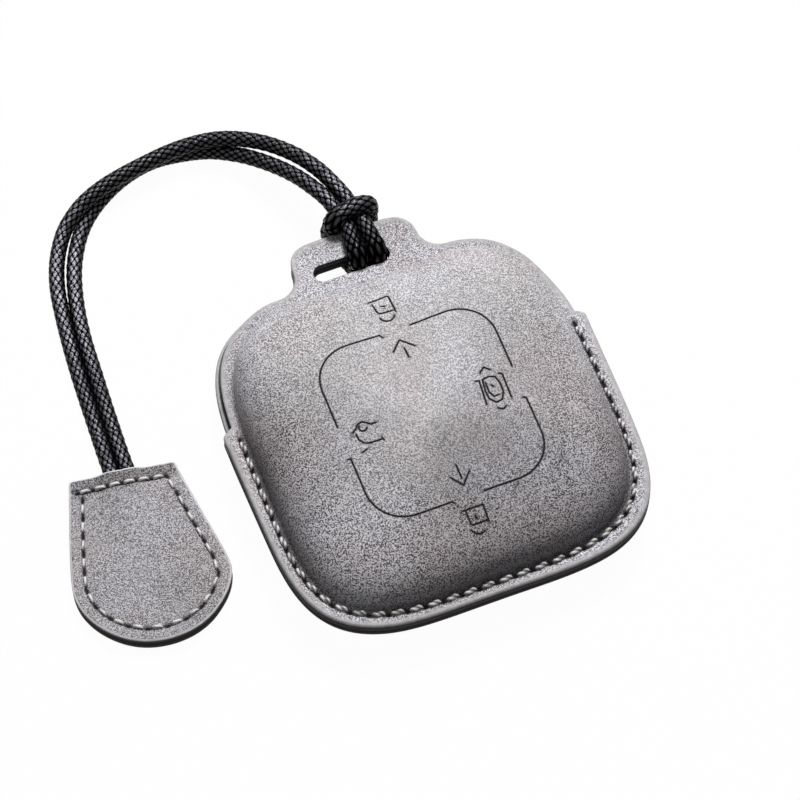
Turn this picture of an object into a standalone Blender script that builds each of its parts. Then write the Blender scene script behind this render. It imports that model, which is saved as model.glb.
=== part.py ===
"""A moulded leather pouch for a car key, with a waxed cord hitched through its tab and a small sewn tag.

The pouch lies on its back. X runs across it, Y up towards the tab and Z up from the table. The origin
is on the table under the middle of the pouch. Everything is in metres.
"""
import math

import bmesh
import bpy
from mathutils import Vector

# Leather, lining and the clearances between pieces
LEATHER = 0.0017
LINING = 0.0006
LAYER_GAP = 0.0003
LINING_GAP = 0.0003
EDGE_ROUND = 0.0004
OVERRUN = 0.004
SPLIT_GAP = 0.0003

# Pouch outline, in plan, measured from the middle of its rounded square
UPPER_HALF_WIDTH = 0.0360
SHOULDER_STEP = 0.0012
LOWER_REACH = 0.0364
UPPER_REACH = 0.0370
LOWER_CORNER = 4.0
UPPER_CORNER = 4.2
FRONT_INSET = 0.0010
SHOULDER_Y = 0.0129
SHOULDER_HEIGHT = 0.0012

# Pull tab at the mouth and the slot through it
TAB_HEIGHT = 0.0098
TAB_HALF_WIDTH = 0.0130
TAB_CORNER = 0.0050
TAB_FILLET = 0.0053
SLOT_LENGTH = 0.0165
SLOT_HEIGHT = 0.0035
SLOT_BELOW_TOP = 0.00755

# Moulded domes, front and back, inside the rim at the sides and at the ends
RIM_SIDE = 0.0027
RIM_END = 0.0031
DOME_CORNER = 4.0
DOME_PROFILE = 3.0
FRONT_RISE = 0.0092
BACK_DEPTH = 0.0071
BACK_STAND = 0.0065

# Seam round the stitched half, in from the edge of the leather and below the shoulder
STITCH_SIDE_INSET = 0.0025
STITCH_END_INSET = 0.0020
STITCH_BELOW_SHOULDER = 0.0019
STITCH_PITCH = 0.0036
THREAD = 0.0008
STITCH_CREST = 0.00035
THREAD_GAP = 0.00025

# Cord
CORD = 0.0030
CORD_STEP = 0.0064
HITCH_STEP = 0.0022

# Tag sewn on the cord ends, a little to one side of their middle
TAG_LENGTH = 0.0370
TAG_END_RADIUS = 0.0153
TAG_TOP_HALF_WIDTH = 0.0095
TAG_CORNER = 0.0008
TAG_SEAM_INSET = 0.0028
TAG_HINGE_DISTANCE = 0.0035
TAG_SIDEWAYS = 0.0004
TAG_CLEARANCE = 0.00045
TAG_LEAN = math.radians(4.6)

# Smoothness of the meshes, in counts
DOME_SIDES = 56
DOME_RINGS = 9
OUTLINE_STEPS = 13
FILLET_STEPS = 4
END_STEPS = 22
DENSE_STEPS = 400

# Places worked out from the sizes above
LOWER_HALF_WIDTH = UPPER_HALF_WIDTH + SHOULDER_STEP
TAB_REACH = UPPER_REACH + TAB_HEIGHT
SLOT_CENTRE = TAB_REACH - SLOT_BELOW_TOP
BODY_CENTRE = (LOWER_REACH - TAB_REACH) / 2
DOME_HALF_WIDTH = UPPER_HALF_WIDTH - RIM_SIDE
DOME_HALF_HEIGHT = (UPPER_REACH + LOWER_REACH) / 2 - RIM_END
DOME_CENTRE = (UPPER_REACH - LOWER_REACH) / 2
STITCH_HALF_WIDTH = LOWER_HALF_WIDTH - STITCH_SIDE_INSET
STITCH_REACH = LOWER_REACH - STITCH_END_INSET
STITCH_TOP = SHOULDER_Y - STITCH_BELOW_SHOULDER
BACK_FLANGE = BACK_STAND
BACK_FLANGE_TOP = BACK_FLANGE + LEATHER
FRONT_FLANGE = BACK_FLANGE_TOP + LAYER_GAP
FRONT_FLANGE_TOP = FRONT_FLANGE + LEATHER
FRONT_TOP = FRONT_FLANGE_TOP + FRONT_RISE
PARTING = (BACK_FLANGE_TOP + FRONT_FLANGE) / 2
BACK_BOTTOM = BACK_FLANGE - BACK_DEPTH
SPLIT = BODY_CENTRE + SHOULDER_Y
LINING_INSET = LEATHER + LINING_GAP
ROOM_INSET = LINING_INSET + LINING
TAG_THICKNESS = LEATHER + LAYER_GAP + LEATHER

# The cord's route through the tab: down the front, through the slot, up behind and over its own strands
HITCH_ROUTE = [
    (0.0032, 0.0471, 0.0111), (0.00362, 0.0443, 0.011), (0.0041, 0.0415, 0.01175),
    (0.00435, 0.0385, 0.01205), (0.0046, 0.0359, 0.01195), (0.0046, 0.0346, 0.0114),
    (0.0046, 0.03405, 0.0101), (0.0046, 0.03405, 0.00835), (0.0046, 0.03405, 0.0066),
    (0.00465, 0.0346, 0.0053), (0.0048, 0.0359, 0.00475), (0.0053, 0.039, 0.0046),
    (0.0059, 0.0416, 0.00465), (0.0063, 0.043, 0.0053), (0.0065, 0.0437, 0.0069), (0.0066, 0.044, 0.0089),
    (0.00674, 0.0442, 0.0109), (0.00615, 0.0445, 0.0132), (0.0042, 0.0446, 0.01425),
    (0.0023, 0.0443, 0.0144), (0.0004, 0.04395, 0.0144), (-0.00185, 0.0436, 0.0134),
    (-0.0027, 0.0435, 0.011), (-0.00245, 0.04345, 0.0089), (-0.00235, 0.0434, 0.0071),
    (-0.00215, 0.0428, 0.0054), (-0.0018, 0.0415, 0.0047), (-0.0011, 0.039, 0.0046),
    (-0.0001, 0.0359, 0.00475), (0.00015, 0.0346, 0.0053), (0.0002, 0.03405, 0.0066),
    (0.0002, 0.03405, 0.00835), (0.0002, 0.03405, 0.0101), (0.0002, 0.0346, 0.0114),
    (0.00025, 0.0359, 0.01195), (0.0006, 0.0385, 0.01205), (0.00085, 0.0415, 0.01175),
    (0.00042, 0.0443, 0.011), (-5e-05, 0.0471, 0.011)]

# The free strands' routes, from the hitch to the tag
OUTER_ROUTE = [
    (0.00307, 0.0476, 0.0111), (0.0024, 0.05, 0.0112), (0.00145, 0.0529, 0.0111), (0.0003, 0.0563, 0.0105),
    (-0.0017, 0.0605, 0.0095), (-0.0042, 0.0644, 0.0083), (-0.0074, 0.0681, 0.0071),
    (-0.0114, 0.071, 0.0063), (-0.0157, 0.073, 0.0056), (-0.0206, 0.0739, 0.0051),
    (-0.0255, 0.074, 0.0047), (-0.0305, 0.0733, 0.0047), (-0.0354, 0.0724, 0.0047),
    (-0.0397, 0.0713, 0.0047), (-0.0439, 0.0697, 0.0045), (-0.0474, 0.0677, 0.0039),
    (-0.0508, 0.0648, 0.0028), (-0.0537, 0.0602, 0.0017), (-0.0556, 0.0546, 0.0015),
    (-0.0567, 0.0481, 0.0015), (-0.0576, 0.0401, 0.0015), (-0.0582, 0.0321, 0.0015),
    (-0.05865, 0.023, 0.0015), (-0.059, 0.016, 0.0017), (-0.0591, 0.0123, 0.0018)]
INNER_ROUTE = [
    (-0.00014, 0.0476, 0.011), (-0.0009, 0.0499, 0.0109), (-0.002, 0.0528, 0.0102),
    (-0.0037, 0.0569, 0.0088), (-0.0059, 0.0611, 0.007), (-0.009, 0.0655, 0.0052),
    (-0.0125, 0.0693, 0.0036), (-0.0171, 0.0726, 0.0023), (-0.0224, 0.0744, 0.0016),
    (-0.0279, 0.075, 0.0015), (-0.0329, 0.0742, 0.0015), (-0.0378, 0.0723, 0.0015),
    (-0.0427, 0.0692, 0.0015), (-0.0466, 0.0654, 0.0015), (-0.0497, 0.0605, 0.0015),
    (-0.0518, 0.0554, 0.0015), (-0.0533, 0.0491, 0.0015), (-0.0542, 0.0421, 0.0015),
    (-0.05485, 0.0341, 0.0015), (-0.0553, 0.025, 0.0015), (-0.0558, 0.016, 0.0017),
    (-0.056, 0.0121, 0.0018)]

# The middle of the tag's top edge, against the ends of the strands
TAG_TOP = ((OUTER_ROUTE[-1][0] + INNER_ROUTE[-1][0]) / 2 + TAG_SIDEWAYS,
           (OUTER_ROUTE[-1][1] + INNER_ROUTE[-1][1]) / 2 - TAG_CLEARANCE)


def clear_scene():
    for old in list(bpy.data.objects):
        bpy.data.objects.remove(old, do_unlink=True)


def make_collection(name):
    collection = bpy.data.collections.new(name)
    bpy.context.scene.collection.children.link(collection)
    return collection


clear_scene()
PARTS = make_collection("car_key_pouch")
CUTTERS = make_collection("cutters")


def make_material(name, colour, roughness, metallic=0.0):
    made = bpy.data.materials.new(name)
    made.use_nodes = True
    shader = made.node_tree.nodes["Principled BSDF"]
    shader.inputs["Base Color"].default_value = (*colour, 1.0)
    shader.inputs["Roughness"].default_value = roughness
    shader.inputs["Metallic"].default_value = metallic
    return made


def add_mesh(name, mesh, collection):
    piece = bpy.data.objects.new(name, mesh)
    collection.objects.link(piece)
    if collection is CUTTERS:
        piece.hide_render = True
        piece.display_type = "WIRE"
    return piece


def finish_piece(piece, material, crease=math.radians(40)):
    """Gives a piece its own material and smooth shading between its sharp edges."""
    piece.data.materials.clear()
    piece.data.materials.append(material)
    piece.data.shade_smooth()
    piece.data.set_sharp_from_angle(angle=crease)


def subtract(piece, cutter):
    cut = piece.modifiers.new("cut_" + cutter.name, "BOOLEAN")
    cut.operation = "DIFFERENCE"
    cut.object = cutter
    piece.modifiers.new("triangles_after_" + cutter.name, "TRIANGULATE")


def unite(piece, other):
    join = piece.modifiers.new("join_" + other.name, "BOOLEAN")
    join.operation = "UNION"
    join.object = other
    piece.modifiers.new("triangles_after_" + other.name, "TRIANGULATE")


def curve_to_mesh(curve_piece, collection):
    """Turns a curve object into a welded mesh object of the same name and place."""
    shown = curve_piece.evaluated_get(bpy.context.evaluated_depsgraph_get())
    mesh = bpy.data.meshes.new_from_object(shown)
    shape = bmesh.new()
    shape.from_mesh(mesh)
    bmesh.ops.remove_doubles(shape, verts=shape.verts, dist=EDGE_ROUND / 100)
    bmesh.ops.recalc_face_normals(shape, faces=shape.faces)
    bmesh.ops.triangulate(shape, faces=shape.faces)
    shape.to_mesh(mesh)
    shape.free()
    name = curve_piece.name
    place = curve_piece.matrix_world.copy()
    bpy.data.objects.remove(curve_piece, do_unlink=True)
    piece = add_mesh(name, mesh, collection)
    piece.matrix_world = place
    return piece


def power(value, exponent):
    """A power that keeps the sign, for the quarters of a rounded square."""
    return math.copysign(abs(value) ** exponent, value)


def rounded_square(angle, half_width, half_height, corner):
    """The point at this angle on a rounded square, a superellipse."""
    share = 2 / corner
    return half_width * power(math.cos(angle), share), half_height * power(math.sin(angle), share)


def angle_at_height(height, half_height, corner):
    return math.asin((height / half_height) ** (corner / 2))


def arc_points(centre, radius, start, end, steps):
    """Points on a round corner, both ends included."""
    points = []
    for step in range(steps + 1):
        angle = start + (end - start) * step / steps
        points.append((centre[0] + radius * math.cos(angle), centre[1] + radius * math.sin(angle)))
    return points


def pouch_outline(upper_inset):
    """One leather layer in plan: the wide stitched half, a shoulder, the narrower mouth half and the tab."""
    width = UPPER_HALF_WIDTH - upper_inset
    reach = UPPER_REACH - upper_inset
    shoulder = angle_at_height(SHOULDER_Y, LOWER_REACH, LOWER_CORNER)
    mouth = angle_at_height(SHOULDER_Y + SHOULDER_HEIGHT, reach, UPPER_CORNER)
    root = TAB_HALF_WIDTH + TAB_FILLET
    tab_root = math.acos((root / width) ** (UPPER_CORNER / 2))
    half = []
    for step in range(1, OUTLINE_STEPS + 1):
        angle = -math.pi / 2 + (shoulder + math.pi / 2) * step / OUTLINE_STEPS
        half.append(rounded_square(angle, LOWER_HALF_WIDTH, LOWER_REACH, LOWER_CORNER))
    for step in range(OUTLINE_STEPS):
        angle = mouth + (tab_root - mouth) * step / OUTLINE_STEPS
        half.append(rounded_square(angle, width, reach, UPPER_CORNER))
    edge = rounded_square(tab_root, width, reach, UPPER_CORNER)[1]
    fillet_centre = (root, edge + TAB_FILLET)
    corner_centre = (TAB_HALF_WIDTH - TAB_CORNER, TAB_REACH - TAB_CORNER)
    half += arc_points(fillet_centre, TAB_FILLET, -math.pi / 2, -math.pi, FILLET_STEPS)[:-1]
    half += arc_points(corner_centre, TAB_CORNER, 0, math.pi / 2, FILLET_STEPS)
    left = [(-x, y) for x, y in reversed(half)]
    bottom = [(0, -LOWER_REACH)]
    return [(x, y + BODY_CENTRE) for x, y in bottom + half + left]


def slot_outline():
    """A slot with fully round ends."""
    radius = SLOT_HEIGHT / 2
    side = SLOT_LENGTH / 2 - radius
    middle = SLOT_CENTRE + BODY_CENTRE
    right = arc_points((side, middle), radius, -math.pi / 2, math.pi / 2, FILLET_STEPS + FILLET_STEPS)
    return right + arc_points((-side, middle), radius, math.pi / 2, math.pi * 3 / 2, FILLET_STEPS + FILLET_STEPS)


def flat_plate(name, outline, low, high, edge, collection):
    """A sheet cut to an outline, between two heights, with its rim rounded by edge."""
    curve = bpy.data.curves.new(name, "CURVE")
    curve.dimensions = "2D"
    curve.fill_mode = "BOTH"
    curve.extrude = (high - low) / 2 - edge
    curve.bevel_depth = edge
    curve.bevel_resolution = 1
    curve.offset = -edge
    line = curve.splines.new("POLY")
    line.points.add(len(outline) - 1)
    for point, (x, y) in zip(line.points, outline):
        point.co = (x, y, 0, 1)
    line.use_cyclic_u = True
    piece = bpy.data.objects.new(name, curve)
    collection.objects.link(piece)
    piece.location = (0, 0, (high + low) / 2)
    bpy.context.view_layer.update()
    return curve_to_mesh(piece, collection)


def dome(name, inset, base, rise, skirt, collection, floor=None):
    """A moulded dome on a rounded-square base; a negative rise hangs down, and floor cuts it flat."""
    half_width = DOME_HALF_WIDTH - inset
    half_height = DOME_HALF_HEIGHT - inset
    up = math.copysign(1, rise)
    shape = bmesh.new()
    bmesh.ops.create_uvsphere(shape, u_segments=DOME_SIDES, v_segments=2 * DOME_RINGS, radius=1)
    lower = [corner for corner in shape.verts if corner.co.z < -1 / (DOME_SIDES * DOME_RINGS)]
    bmesh.ops.delete(shape, geom=lower, context="VERTS")
    for corner in shape.verts:
        angle = math.atan2(corner.co.y, corner.co.x)
        spread = math.hypot(corner.co.x, corner.co.y) ** (2 / DOME_PROFILE)
        x, y = rounded_square(angle, half_width, half_height, DOME_CORNER)
        height = max(corner.co.z, 0) ** (2 / DOME_PROFILE)
        corner.co = (x * spread, y * spread + BODY_CENTRE + DOME_CENTRE, base + rise * height)
    rim = [edge for edge in shape.edges if edge.is_boundary]
    if skirt:
        grown = bmesh.ops.extrude_edge_only(shape, edges=rim)["geom"]
        moved = [item for item in grown if isinstance(item, bmesh.types.BMVert)]
        bmesh.ops.translate(shape, verts=moved, vec=(0, 0, -up * skirt))
        rim = [edge for edge in shape.edges if edge.is_boundary]
    bmesh.ops.holes_fill(shape, edges=rim, sides=0)
    if floor is not None:
        everything = shape.verts[:] + shape.edges[:] + shape.faces[:]
        bmesh.ops.bisect_plane(shape, geom=everything, plane_co=(0, 0, floor), plane_no=(0, 0, -1),
                               clear_outer=True)
        rim = [edge for edge in shape.edges if edge.is_boundary]
        bmesh.ops.holes_fill(shape, edges=rim, sides=0)
    bmesh.ops.recalc_face_normals(shape, faces=shape.faces)
    bmesh.ops.triangulate(shape, faces=shape.faces)
    mesh = bpy.data.meshes.new(name)
    shape.to_mesh(mesh)
    shape.free()
    return add_mesh(name, mesh, collection)


def block(name, low, high):
    """A box between two corners, for cutting."""
    shape = bmesh.new()
    bmesh.ops.create_cube(shape, size=1)
    size = Vector(high) - Vector(low)
    middle = (Vector(high) + Vector(low)) / 2
    bmesh.ops.scale(shape, vec=size, verts=shape.verts)
    bmesh.ops.translate(shape, vec=middle, verts=shape.verts)
    mesh = bpy.data.meshes.new(name)
    shape.to_mesh(mesh)
    shape.free()
    return add_mesh(name, mesh, CUTTERS)


def half_space(name, keep_lower):
    """The block that takes away one side of the line where the front bends, less the gap."""
    side = LOWER_HALF_WIDTH + OVERRUN
    far = TAB_REACH + OVERRUN
    top = FRONT_TOP + OVERRUN
    if keep_lower:
        return block(name, (-side, SPLIT - SPLIT_GAP / 2, -OVERRUN), (side, far, top))
    return block(name, (-side, -far, -OVERRUN), (side, SPLIT + SPLIT_GAP / 2, top))


SLOT_CUTTER = flat_plate("slot_cutter", slot_outline(), -OVERRUN, FRONT_TOP, 0, CUTTERS)
UPPER_CUTTER = half_space("upper_cutter", True)
LOWER_CUTTER = half_space("lower_cutter", False)


def front_leather(name, cutter, material):
    """The moulded front leather on one side of the line where it bends."""
    piece = flat_plate(name, pouch_outline(FRONT_INSET), FRONT_FLANGE, FRONT_FLANGE_TOP, EDGE_ROUND, PARTS)
    root = FRONT_FLANGE + LEATHER / 2
    unite(piece, dome(name + "_dome", 0, root, FRONT_TOP - root, 0, CUTTERS))
    subtract(piece, dome(name + "_room", LEATHER, PARTING, FRONT_TOP - LEATHER - PARTING, OVERRUN, CUTTERS))
    subtract(piece, SLOT_CUTTER)
    subtract(piece, cutter)
    finish_piece(piece, material)
    return piece


def front_lining(name, cutter, material):
    """The thin lining inside the front dome, a clearance away from the leather."""
    piece = dome(name, LINING_INSET, FRONT_FLANGE, FRONT_TOP - LINING_INSET - FRONT_FLANGE, 0, PARTS)
    subtract(piece, dome(name + "_room", ROOM_INSET, PARTING, FRONT_TOP - ROOM_INSET - PARTING, OVERRUN, CUTTERS))
    subtract(piece, cutter)
    finish_piece(piece, material)
    return piece


def back_leather(material):
    """The moulded back leather, whose shallow dome is flat where it lies on the table."""
    piece = flat_plate("back_shell", pouch_outline(0), BACK_FLANGE, BACK_FLANGE_TOP, EDGE_ROUND, PARTS)
    root = BACK_FLANGE_TOP - LEATHER / 2
    unite(piece, dome("back_dome", 0, root, BACK_BOTTOM - root, 0, CUTTERS, floor=0))
    room = dome("back_room", LEATHER, PARTING, BACK_BOTTOM + LEATHER - PARTING, OVERRUN, CUTTERS, floor=LEATHER)
    subtract(piece, room)
    subtract(piece, SLOT_CUTTER)
    finish_piece(piece, material)
    return piece


def back_lining(material):
    """The thin lining inside the back."""
    depth = BACK_FLANGE_TOP - BACK_BOTTOM - LINING_INSET
    piece = dome("back_lining", LINING_INSET, BACK_FLANGE_TOP, -depth, 0, PARTS, floor=LINING_INSET)
    room_depth = PARTING - BACK_BOTTOM - ROOM_INSET
    subtract(piece, dome("back_lining_room", ROOM_INSET, PARTING, -room_depth, OVERRUN, CUTTERS, floor=ROOM_INSET))
    finish_piece(piece, material)
    return piece


def walk_evenly(points, count):
    """Points at equal steps along a polyline, both ends included."""
    lengths = [0.0]
    for first, second in zip(points, points[1:]):
        lengths.append(lengths[-1] + (Vector(second) - Vector(first)).length)
    found = []
    place = 0
    for step in range(count + 1):
        target = lengths[-1] * step / count
        while place < len(points) - 2 and lengths[place + 1] < target:
            place += 1
        share = (target - lengths[place]) / (lengths[place + 1] - lengths[place])
        found.append(Vector(points[place]).lerp(Vector(points[place + 1]), share))
    return found


def tube(name, points, diameter, sides, material, closed=False, collection=PARTS):
    """A round tube along points, with filled ends unless it closes on itself."""
    curve = bpy.data.curves.new(name, "CURVE")
    curve.dimensions = "3D"
    curve.bevel_depth = diameter / 2
    curve.bevel_resolution = sides // 2 - 2
    curve.use_fill_caps = not closed
    line = curve.splines.new("POLY")
    line.points.add(len(points) - 1)
    for point, place in zip(line.points, points):
        point.co = (*place, 1)
    line.use_cyclic_u = closed
    piece = bpy.data.objects.new(name, curve)
    collection.objects.link(piece)
    curve.materials.append(material)
    return piece


def sewn_line(path, seat, crest, closed):
    """A thread at the height of its seat in the holes, and higher by the crest over each stitch."""
    length = 0
    for first, second in zip(path, path[1:]):
        length += (Vector(second) - Vector(first)).length
    stitches = round(length / STITCH_PITCH)
    spots = walk_evenly(path, 2 * stitches)
    if closed:
        spots = spots[:-1]
    points = []
    for number, spot in enumerate(spots):
        points.append((spot[0], spot[1], seat + crest * (number % 2)))
    return points


def seam_path():
    """The stitch line, from one side of the mouth round the bottom to the other."""
    end = angle_at_height(STITCH_TOP, STITCH_REACH, LOWER_CORNER)
    start = -math.pi - end
    path = []
    for step in range(DENSE_STEPS + 1):
        angle = start + (end - start) * step / DENSE_STEPS
        x, y = rounded_square(angle, STITCH_HALF_WIDTH, STITCH_REACH, LOWER_CORNER)
        path.append((x, y + BODY_CENTRE))
    return path


def smooth_route(route, step):
    """Points about one step apart on a smooth curve through a route's own points."""
    knots = [Vector(point) for point in route]
    knots = [2 * knots[0] - knots[1]] + knots + [2 * knots[-1] - knots[-2]]
    dense = []
    for first in range(len(knots) - 3):
        a, b, c, d = knots[first:first + 4]
        for part in range(FILLET_STEPS + FILLET_STEPS):
            t = part / (FILLET_STEPS + FILLET_STEPS)
            bend = (2 * a - 5 * b + 4 * c - d) * t * t + (3 * b - a - 3 * c + d) * t ** 3
            dense.append((2 * b + (c - a) * t + bend) / 2)
    dense.append(knots[-2])
    length = 0
    for first, second in zip(dense, dense[1:]):
        length += (second - first).length
    return walk_evenly(dense, round(length / step))


def tag_outline(inset, corner):
    """The tag in plan, its top edge on the X axis: straight tapered sides and a round end."""
    drop = TAG_LENGTH - TAG_END_RADIUS
    flare = math.asin(TAG_END_RADIUS / math.hypot(drop, TAG_TOP_HALF_WIDTH))
    flare -= math.atan2(TAG_TOP_HALF_WIDTH, drop)
    radius = TAG_END_RADIUS - inset
    top = -inset
    half_top = radius / math.cos(flare) - (drop - inset) * math.tan(flare)
    turn = math.pi / 2 - flare
    side = half_top - corner * math.tan(turn / 2)
    outline = arc_points((0, -drop), radius, flare, -math.pi - flare, END_STEPS)
    outline += arc_points((-side, top - corner), corner, math.pi - flare, math.pi / 2, FILLET_STEPS)
    outline += arc_points((side, top - corner), corner, math.pi / 2, flare, FILLET_STEPS)
    return outline


def tag_hinge():
    """An empty on the line where the tag folds on its cord ends, turned as the tag lies."""
    hinge = bpy.data.objects.new("tag_hinge", None)
    PARTS.objects.link(hinge)
    away = Vector((math.sin(TAG_LEAN), math.cos(TAG_LEAN)))
    place = Vector(TAG_TOP) + TAG_HINGE_DISTANCE * away
    hinge.location = (place.x, place.y, TAG_THICKNESS / 2)
    hinge.rotation_euler = (0, 0, -TAG_LEAN)
    return hinge


def hang_on(piece, hinge):
    """Parents a tag piece, drawn with its top edge at the origin, to the tag's hinge."""
    piece.parent = hinge
    piece.location.y -= TAG_HINGE_DISTANCE
    piece.location.z -= TAG_THICKNESS / 2


def tag_leather(name, low, hinge, material):
    piece = flat_plate(name, tag_outline(0, TAG_CORNER), low, low + LEATHER, EDGE_ROUND, PARTS)
    finish_piece(piece, material)
    hang_on(piece, hinge)
    return piece


def tag_seam(seat, crest):
    outline = tag_outline(TAG_SEAM_INSET, TAG_CORNER)
    path = walk_evenly(outline + outline[:1], DENSE_STEPS)
    return sewn_line(path, seat, crest, True)


def cut_tag_groove(piece, hinge, material):
    """The groove that the thread is sunk into under the tag, so that the tag lies flat."""
    width = THREAD + 2 * THREAD_GAP
    groove = tube("tag_groove", tag_seam(THREAD / 2, 0), width, 6, material, True, CUTTERS)
    bpy.context.view_layer.update()
    groove = curve_to_mesh(groove, CUTTERS)
    hang_on(groove, hinge)
    subtract(piece, groove)


def build():
    leather_colour = (0.43, 0.42, 0.43)
    lining_colour = (0.06, 0.06, 0.065)
    thread_colour = (0.62, 0.61, 0.60)
    cord_colour = (0.02, 0.02, 0.022)

    def leather(name):
        return make_material(name + "_leather", leather_colour, 0.62)

    def thread(name):
        return make_material(name + "_thread", thread_colour, 0.7)

    front_leather("front_shell", UPPER_CUTTER, leather("front_shell"))
    front_leather("front_flap", LOWER_CUTTER, leather("front_flap"))
    front_lining("front_lining", UPPER_CUTTER, make_material("front_lining_cloth", lining_colour, 0.9))
    front_lining("front_flap_lining", LOWER_CUTTER, make_material("flap_lining_cloth", lining_colour, 0.9))
    back_leather(leather("back_shell"))
    back_lining(make_material("back_lining_cloth", lining_colour, 0.9))

    lift = THREAD_GAP + THREAD / 2
    front_seam = sewn_line(seam_path(), FRONT_FLANGE_TOP + lift, STITCH_CREST, False)
    back_seam = sewn_line(seam_path(), BACK_FLANGE - lift, -STITCH_CREST, False)
    tube("seam_thread_front", front_seam, THREAD, 6, thread("front_seam"))
    tube("seam_thread_back", back_seam, THREAD, 6, thread("back_seam"))

    cord = make_material("hitch_waxed_cord", cord_colour, 0.35)
    tube("cord_hitch", smooth_route(HITCH_ROUTE, HITCH_STEP), CORD, 8, cord)
    outer = make_material("outer_waxed_cord", cord_colour, 0.35)
    tube("cord_strand_outer", smooth_route(OUTER_ROUTE, CORD_STEP), CORD, 8, outer)
    inner = make_material("inner_waxed_cord", cord_colour, 0.35)
    tube("cord_strand_inner", smooth_route(INNER_ROUTE, CORD_STEP), CORD, 8, inner)

    hinge = tag_hinge()
    back = tag_leather("tag_back", 0, hinge, leather("tag_back"))
    cut_tag_groove(back, hinge, thread("groove"))
    tag_leather("tag_front", LEATHER + LAYER_GAP, hinge, leather("tag_front"))
    front_line = tag_seam(TAG_THICKNESS + lift, STITCH_CREST)
    hang_on(tube("tag_thread_front", front_line, THREAD, 6, thread("tag_front"), True), hinge)
    back_line = tag_seam(THREAD / 2, 0)
    hang_on(tube("tag_thread_back", back_line, THREAD, 6, thread("tag_back"), True), hinge)


build()
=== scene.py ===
import math

import bmesh
import bpy
import numpy as np
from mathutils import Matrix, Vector
from mathutils.geometry import delaunay_2d_cdt


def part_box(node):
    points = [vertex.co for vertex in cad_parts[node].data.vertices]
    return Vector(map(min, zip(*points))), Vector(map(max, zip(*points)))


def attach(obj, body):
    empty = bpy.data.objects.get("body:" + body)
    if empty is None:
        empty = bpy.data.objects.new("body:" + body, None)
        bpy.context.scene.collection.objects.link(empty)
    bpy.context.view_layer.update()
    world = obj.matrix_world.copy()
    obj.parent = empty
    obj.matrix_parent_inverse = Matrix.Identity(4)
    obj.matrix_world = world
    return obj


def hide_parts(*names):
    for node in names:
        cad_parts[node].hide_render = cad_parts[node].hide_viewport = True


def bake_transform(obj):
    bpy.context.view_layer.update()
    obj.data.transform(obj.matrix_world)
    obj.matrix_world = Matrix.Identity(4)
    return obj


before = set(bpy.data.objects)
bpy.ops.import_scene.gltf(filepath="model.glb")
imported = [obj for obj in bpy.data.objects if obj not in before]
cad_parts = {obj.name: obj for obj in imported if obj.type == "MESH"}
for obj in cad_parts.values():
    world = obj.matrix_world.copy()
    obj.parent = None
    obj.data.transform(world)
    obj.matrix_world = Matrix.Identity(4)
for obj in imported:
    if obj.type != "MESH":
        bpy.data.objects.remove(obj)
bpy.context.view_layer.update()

# Leather, front and back. Two sheets of grey speckled leather are pressed over a mould into a rounded
# square pillow with a flat flange round it. Their rims are rounded over and painted nearly black.
# Lengths are in metres, and each place in plan is measured from the middle of the pouch.
BACK_LOW, BACK_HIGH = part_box("back_shell")
FRONT_LOW, FRONT_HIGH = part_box("front_shell")
SHEET = 0.0017
SHEET_GAP = 0.0003
FRONT_INSET = 0.0010
TAB_TOP = BACK_HIGH.y
LOWER_WIDTH = BACK_HIGH.x
LOWER_REACH = 0.0364
UPPER_WIDTH = LOWER_WIDTH - 0.0012
UPPER_REACH = 0.0370
SQUARENESS = 4.0
MIDDLE = BACK_LOW.y + LOWER_REACH
FRONT_FACE = FRONT_LOW.z + SHEET
BACK_FACE = BACK_HIGH.z - SHEET
PILLOW_TOP = FRONT_HIGH.z
PILLOW_WIDTH = 0.0333
PILLOW_LENGTH = 0.0336
PILLOW_MIDDLE = MIDDLE + 0.0003
PILLOW_CENTRE = np.array([0, PILLOW_MIDDLE])
PILLOW_POWER = 3.0
BACK_SAG = 0.0071
SOFT_FLAT = 0.0005
FOOT_FILLET = 0.0009
RIM_ROUND = 0.00088
FREE_ROUND = 0.0004
INNER_ROUND = 0.0005
RIM_BAND = 0.00115
MOUTH_LINE = MIDDLE + 0.0129
SLOT_MIDDLE = TAB_TOP - 0.00755
SLOT_LEFT, SLOT_RIGHT, SLOT_HALF = 0.0088, 0.0068, 0.00175
SPRING = 0.0013
# A pressed line's depth and half width, the low lip that it throws up, and the dip round a needle hole
PRESS_DEPTH, PRESS_HALF = 0.00022, 0.00018
LIP_HEIGHT, LIP_PLACE, LIP_WIDTH = 0.00004, 0.00034, 0.00012
HOLE_DEPTH, HOLE_DISH = 0.00060, 0.00013
# Spacing of the mesh's loose points on the pillow, on the flange and beside the pressed lines, and how
# far they keep from an edge and from a needle hole
COARSE, MEDIUM, FINE = 0.0010, 0.0009, 0.00042
EDGE_ROOM, HOLE_ROOM = 0.0003, 0.0013
CORNER_ROOM = 0.00004
# How far up from the middle the specks grow fainter, and the painted highlight on the pillow's top grows
UPPER_FADE, TOP_FADE = 0.015, 0.028


def signed_power(value, power):
    return np.sign(value) * np.abs(value) ** power


def squircle(angles, width, length, corner):
    """Plan points of a rounded square about the origin."""
    across = width * signed_power(np.cos(angles), 2 / corner)
    along = length * signed_power(np.sin(angles), 2 / corner)
    return np.stack([across, along], 1)


def joined(loop):
    """A loop with its first point again at its end."""
    return np.vstack([loop, loop[:1]])


def steps_of(line):
    return np.linalg.norm(np.diff(line, axis=0), axis=1)


def length_of(line):
    return float(steps_of(line).sum())


def reach_along(line):
    """How far along a line each of its points lies."""
    return np.concatenate([[0], np.cumsum(steps_of(line))])


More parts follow.
